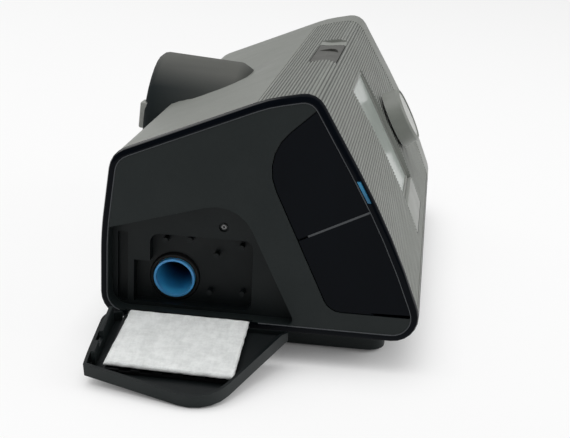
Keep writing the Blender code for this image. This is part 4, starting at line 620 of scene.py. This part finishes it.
def ribGroup():
    group = bpy.data.node_groups.new("ribBars", "GeometryNodeTree")
    inputs = {
        "Geometry": "Geometry", "Pitch": "Float", "Radius": "Float", "Sides": "Int", "Length": "Float",
        "Material": "Material",
    }
    for label, kind in inputs.items():
        group.interface.new_socket(label, in_out="INPUT", socket_type="NodeSocket" + kind)
    group.interface.new_socket("Geometry", in_out="OUTPUT", socket_type="NodeSocketGeometry")
    add, join = group.nodes.new, group.links.new
    given, made = add("NodeGroupInput"), add("NodeGroupOutput")
    curve, spaced = add("GeometryNodeMeshToCurve"), add("GeometryNodeResampleCurve")
    bar, bars = add("GeometryNodeMeshCylinder"), add("GeometryNodeInstanceOnPoints")
    real, coat = add("GeometryNodeRealizeInstances"), add("GeometryNodeSetMaterial")
    spaced.mode = "LENGTH"
    join(given.outputs["Geometry"], curve.inputs["Mesh"])
    join(curve.outputs["Curve"], spaced.inputs["Curve"])
    join(given.outputs["Pitch"], spaced.inputs["Length"])
    join(given.outputs["Radius"], bar.inputs["Radius"])
    join(given.outputs["Sides"], bar.inputs["Vertices"])
    join(given.outputs["Length"], bar.inputs["Depth"])
    join(spaced.outputs["Curve"], bars.inputs["Points"])
    join(bar.outputs["Mesh"], bars.inputs["Instance"])
    bars.inputs["Rotation"].default_value = (0.0, math.pi / 2, 0.0)
    join(bars.outputs["Instances"], real.inputs["Geometry"])
    join(real.outputs["Geometry"], coat.inputs["Geometry"])
    join(given.outputs["Material"], coat.inputs["Material"])
    join(coat.outputs["Geometry"], made.inputs["Geometry"])
    return group


# The outer line of the front shell's end face, from the top seam to the lower edge
def shellLine():
    work = meshOf("front_fascia")
    faces = [face for face in work.faces if face.normal.x < -ribs["facing"]]
    line = [vertex.co.copy() for vertex in max(faces, key=lambda face: face.calc_area()).verts]
    work.free()
    start = max(range(len(line)), key=lambda index: line[index].y * ribs["rearWeight"] + line[index].z)
    line = line[start:] + line[:start]
    if abs(line[1].y - line[0].y) < abs(line[-1].y - line[0].y):
        line = line[:1] + line[:0:-1]
    last = min(range(len(line)), key=lambda index: line[index].z + line[index].y * ribs["frontWeight"])
    return line[:last + 1]


def outwards(line, index):
    along = line[min(index + 1, len(line) - 1)] - line[max(index - 1, 0)]
    return Vector((0.0, along.z, -along.y)).normalized()


def ribBars():
    line = shellLine()
    margin = ribs["Pitch"] * ribs["ends"]
    line[0] = line[0] + (line[1] - line[0]).normalized() * margin
    line[-1] = line[-1] + (line[-2] - line[-1]).normalized() * margin
    raised = []
    for index, point in enumerate(line):
        place = point + outwards(line, index) * (ribs["Radius"] - ribs["depth"])
        raised.append((ribs["middle"], place.y, place.z))
    mesh = bpy.data.meshes.new("ribLine")
    mesh.from_pydata(raised, [(index, index + 1) for index in range(len(raised) - 1)], [])
    bars = linked("ribBars", mesh)
    group = ribGroup()
    modifier = modified(bars, "NODES", node_group=group)
    values = {**ribs, "Material": finishes["grey_shell"]}
    for item in group.interface.items_tree:
        if item.item_type == "SOCKET" and item.in_out == "INPUT" and item.name in values:
            modifier[item.identifier] = values[item.name]
    applied(bars)
    nearest = KDTree(len(raised))
    for index, place in enumerate(raised):
        nearest.insert((0.0, place[1], place[2]), index)
    nearest.balance()

    # Painted shade: only the floor of a groove is given the dark colour, so a bar's faces that look into the
    # shell carry the shade
    def groovePaintedShade(place, normal):
        index = nearest.find((0.0, place.y, place.z))[1]
        out = outwards(line, min(max(index, 1), len(line) - 2))
        return 1.0 if -normal.dot(out) > ribs["floor"] else 0.0

    shaded(bars, groovePaintedShade)
    print("rib line points:", len(line), "bar points:", len(bars.data.vertices))
    return bars


frontShell = repainted(carved("front_fascia", "frontShell", ribBars()), ribFinish)
grooveShares = [item.value for item in frontShell.data.attributes["shade"].data]
print("groove faces shaded:", sum(share > 0 for share in grooveShares), "of", len(grooveShares))


# Start key: its finger mark is a shallow half-moon that gets deeper towards the far side
keyMark = {"near": -0.0125, "long": 0.0135, "middle": -0.0170, "half": 0.0050, "depth": 0.0011, "steps": 24}
keyFinish = mouldedPlastic("keyGrey", (0.090, 0.090, 0.083), 0.03, 0.38)


def markCutter():
    tree = BVHTree.FromBMesh(meshOf("start_button"))

    def topAt(x):
        return tree.ray_cast(Vector((x, keyMark["middle"], 1.0)), Vector((0.0, 0.0, -1.0)))[0].z

    far = keyMark["near"] + keyMark["long"]
    nearFloor, farFloor = topAt(keyMark["near"]), topAt(far) - keyMark["depth"]
    above = nearFloor + keyMark["long"]
    work = bmesh.new()
    rings = ([], [])
    for step in range(keyMark["steps"] + 1):
        angle = math.pi * step / keyMark["steps"]
        share = math.sin(angle)
        x = keyMark["near"] + keyMark["long"] * share
        y = keyMark["middle"] - keyMark["half"] * math.cos(angle)
        for ring, z in zip(rings, (nearFloor + (farFloor - nearFloor) * share, above)):
            ring.append(work.verts.new((x, y, z)))
    return linked("markCutter", meshFrom("markCutter", skinned(work, rings)))


repainted(carved("start_button", "startKey", markCutter()), keyFinish)


# A thin light-grey bead between the end trim and the end panel stands for a painted highlight on the panel's
# edge, and a grey bar lies between the two gloss covers.
# The bead leaves out the door's notch (from y, to y, below z) and the status light (before y, from z, to z)
highlightBead = {
    "x": -0.12725, "radius": 0.00030, "sides": 8, "eye": (-0.1267, -0.006, 0.058), "step": 1.5,
    "first": -90.0, "notch": (-0.003, 0.056, 0.0205), "light": (-0.035, 0.070, 0.0845), "smoothAngle": 60.0,
}
divider = {
    "near": (-0.0232, 0.0575), "far": (-0.0478, 0.0698), "half": 0.00042, "face": -0.12723, "back": -0.1258,
}
# Painted highlight: the bead's light grey stands for light caught on the panel's edge; the cover divider
# shares this grey
highlightAndBarFinish = mouldedPlastic("highlightAndBarGrey", (0.060, 0.066, 0.072), 0.05, 0.34, 0.04)


# Places on the trim's inner edge, seen from the panel's middle, each with its angle
def trimSpots():
    tree = BVHTree.FromBMesh(meshOf("end_trim"))
    spots = []
    for index in range(round(360 / highlightBead["step"])):
        angle = math.radians(index * highlightBead["step"] + highlightBead["first"])
        hit = tree.ray_cast(Vector(highlightBead["eye"]), Vector((0.0, math.cos(angle), math.sin(angle))))[0]
        if hit is None:
            continue
        inNotch = highlightBead["notch"][0] < hit.y < highlightBead["notch"][1] and hit.z < highlightBead["notch"][2]
        atLight = hit.y < highlightBead["light"][0] and highlightBead["light"][1] < hit.z < highlightBead["light"][2]
        if not inNotch and not atLight:
            spots.append((angle, Vector((highlightBead["x"], hit.y, hit.z))))
    return spots


def makeHighlightBead():
    spots = trimSpots()
    gaps = [(spots[index][0] - spots[index - 1][0]) % math.tau for index in range(len(spots))]
    first = max(range(len(spots)), key=lambda index: gaps[index])
    line = [point for angle, point in spots[first:] + spots[:first]]
    turns = [math.tau * turn / highlightBead["sides"] for turn in range(highlightBead["sides"])]
    work = bmesh.new()
    side = Vector((1.0, 0.0, 0.0))
    rings = []
    for index, point in enumerate(line):
        along = (line[min(index + 1, len(line) - 1)] - line[max(index - 1, 0)]).normalized()
        out = along.cross(side)
        offsets = [(side * math.cos(turn) + out * math.sin(turn)) * highlightBead["radius"] for turn in turns]
        rings.append([work.verts.new(point + offset) for offset in offsets])
    piece = finished("trimHighlightBead", skinned(work, rings), "turret_grey", highlightBead["smoothAngle"])
    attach(repainted(piece, highlightAndBarFinish), "machine")
    print("bead points:", len(line), "widest gap in degrees:", round(math.degrees(max(gaps)), 1))


def makeDivider():
    near, far = Vector(divider["near"]), Vector(divider["far"])
    out = Vector((-(far - near).y, (far - near).x)).normalized() * divider["half"]
    outline = (near + out, far + out, far - out, near - out)
    work = bmesh.new()
    rings = [[work.verts.new((x, *place)) for place in outline] for x in (divider["face"], divider["back"])]
    piece = finished("coverDivider", skinned(work, rings), "turret_grey")
    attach(repainted(piece, highlightAndBarFinish), "machine")


makeHighlightBead()
makeDivider()
print("bead and divider made")


# Filter pad: a thin felt pad with soft edges, lying in the open door.
# Its corners (y, z in the closed door) are low front, low rear, high front and high rear
pad = {
    "floor": -0.1235, "thickness": 0.0022,
    "corners": ((-0.0009, 0.0170), (0.0504, 0.0166), (-0.0003, 0.0532), (0.0529, 0.0517)),
    "columns": 84, "rows": 56, "edge": 0.0011, "edgeShare": 0.75, "lump": 0.00022, "lumpScale": 260.0,
    "wander": 0.00025, "wanderScale": 300.0, "seed": 3.7, "smoothAngle": 60.0,
}
door = {"hinge": (-0.128, 0.0, 0.0146), "turn": -106.7}


def opened(point):
    hinge = Vector(door["hinge"])
    turn = Matrix.Rotation(math.radians(door["turn"]), 4, "Y")
    return Matrix.Translation(hinge) @ turn @ Matrix.Translation(-hinge) @ Vector(point)


# A point of the pad's lower (0) or upper (1) side, with its shares across and up
def padPoint(side, across, up):
    lowFront, lowRear, highFront, highRear = (Vector(corner) for corner in pad["corners"])
    wide, high = (lowRear - lowFront).length, (highFront - lowFront).length
    y, z = lowFront.lerp(lowRear, across).lerp(highFront.lerp(highRear, across), up)
    inset = min(min(across, 1 - across) * wide, min(up, 1 - up) * high)
    ease = min(inset / pad["edge"], 1.0)
    fall = 1 - math.sqrt(max(1 - (1 - ease) ** 2, 0.0))
    half = pad["thickness"] / 2
    lump = noise.noise(Vector((y, z, side + pad["seed"])) * pad["lumpScale"]) * pad["lump"]
    x = pad["floor"] + half + (half * (1 - fall * pad["edgeShare"]) - abs(lump)) * (1 if side else -1)
    wander = noise.noise(Vector((y, z, pad["seed"])) * pad["wanderScale"]) * pad["wander"] * (1 - ease)
    return opened((x, y + wander, z + wander))


def padBorder(sheet):
    highEdge, lowEdge = sheet[-1][-2::-1], sheet[0]
    return lowEdge + [line[-1] for line in sheet[1:]] + highEdge + [line[0] for line in sheet[-2:0:-1]]


def makePad():
    work = bmesh.new()
    sheets = []
    for side in (0, 1):
        sheet = []
        for row in range(pad["rows"] + 1):
            shares = [(column / pad["columns"], row / pad["rows"]) for column in range(pad["columns"] + 1)]
            sheet.append([work.verts.new(padPoint(side, across, up)) for across, up in shares])
        sheets.append(sheet)
    for side, sheet in enumerate(sheets):
        for low, high in zip(sheet, sheet[1:]):
            for corners in zip(low, low[1:], high[1:], high):
                work.faces.new(corners if side else corners[::-1])
    lower, upper = padBorder(sheets[0]), padBorder(sheets[1])
    for index in range(len(lower)):
        work.faces.new((lower[index - 1], lower[index], upper[index], upper[index - 1]))
    bmesh.ops.recalc_face_normals(work, faces=work.faces)
    piece = finished("filterPad", work, "filter_felt", pad["smoothAngle"])
    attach(piece, "filter_door")
    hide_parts("air_filter")


makePad()
print("filter pad made")


# Stage: pale floor, soft lamps, and the camera at the photo's place
stage = {
    "floorSize": 6.0, "floorDrop": 0.0002, "floorColour": (0.86, 0.86, 0.86), "floorRoughness": 0.9,
    "floorGlow": 0.80, "contact": 0.03, "contactSamples": 8, "worldLight": 0.30,
    "worldColour": (1.0, 1.0, 1.0), "eye": (-0.5902149, -0.0674222, 0.2093781), "yaw": 6.6716,
    "pitch": 17.2858, "roll": 2.6826, "lens": 75.065, "sensor": 36.0, "clipStart": 0.01,
}
# Each lamp's place, aim, size and power
lamps = {
    "overhead": ((-0.15, 0.1, 1.3), (-0.03, 0.0, 0.05), 1.2, 12.0),
    "frontSide": ((0.1, -1.3, 0.7), (0.0, 0.0, 0.06), 0.9, 5.5),
    "backSide": ((0.9, 0.9, 0.8), (0.0, 0.05, 0.06), 0.8, 3.2),
}


# The floor glows for the camera and in reflections, but not where a piece stands close above it
def floorPaint():
    fixed = {
        "Base Color": (*stage["floorColour"], 1.0), "Roughness": stage["floorRoughness"],
        "Specular IOR Level": 0.0,
    }
    paint = Paint("paleFloor", fixed)
    rays = [paint.node("LightPath", output=f"Is {kind} Ray") for kind in ("Camera", "Glossy", "Transmission")]
    contact = paint.node(
        "AmbientOcclusion", {"samples": stage["contactSamples"]}, {"Distance": stage["contact"]}, output="AO",
    )
    seen = (rays[0] + rays[1] + rays[2]).held() * contact * stage["floorGlow"]
    lit = Field(paint, paint.shader.outputs[0])
    surface = paint.node("MixShader", {}, [seen, lit, paint.node("Emission")])
    paint.tree.links.new(surface.socket, paint.tree.nodes["Material Output"].inputs["Surface"])
    return paint.material


def makeStage():
    half, z = stage["floorSize"], -stage["floorDrop"]
    mesh = bpy.data.meshes.new("floor")
    corners = [(-half, -half, z), (half, -half, z), (half, half, z), (-half, half, z)]
    mesh.from_pydata(corners, [], [(0, 1, 2, 3)])
    mesh.materials.append(floorPaint())
    floor = linked("floor", mesh)
    world = bpy.data.worlds.new("studio")
    bpy.context.scene.world = world
    world.use_nodes = True
    background = world.node_tree.nodes["Background"]
    background.inputs["Strength"].default_value = stage["worldLight"]
    background.inputs["Color"].default_value = (*stage["worldColour"], 1.0)
    for name, (place, aim, size, power) in lamps.items():
        light = bpy.data.lights.new(name, "AREA")
        light.energy = power
        light.size = size
        lamp = linked(name, light)
        lamp.location = place
        lamp.rotation_euler = (Vector(aim) - Vector(place)).to_track_quat("-Z", "Y").to_euler()


def makeCamera():
    yaw, pitch, roll = (math.radians(stage[key]) for key in ("yaw", "pitch", "roll"))
    level = math.cos(pitch)
    forward = Vector((math.cos(yaw) * level, math.sin(yaw) * level, -math.sin(pitch)))
    right = Vector((math.sin(yaw), -math.cos(yaw), 0.0))
    up = right.cross(forward)
    turnedRight = right * math.cos(roll) + up * math.sin(roll)
    turnedUp = up * math.cos(roll) - right * math.sin(roll)
    data = bpy.data.cameras.new("photoCamera")
    data.lens = stage["lens"]
    data.sensor_width = stage["sensor"]
    data.sensor_fit = "HORIZONTAL"
    data.clip_start = stage["clipStart"]
    camera = linked("photoCamera", data)
    turn = Matrix((turnedRight, turnedUp, -forward)).transposed().to_4x4()
    camera.matrix_world = Matrix.Translation(stage["eye"]) @ turn
    bpy.context.scene.camera = camera


makeStage()
makeCamera()
bpy.context.scene.view_settings.view_transform = "Standard"
print("stage and camera made")
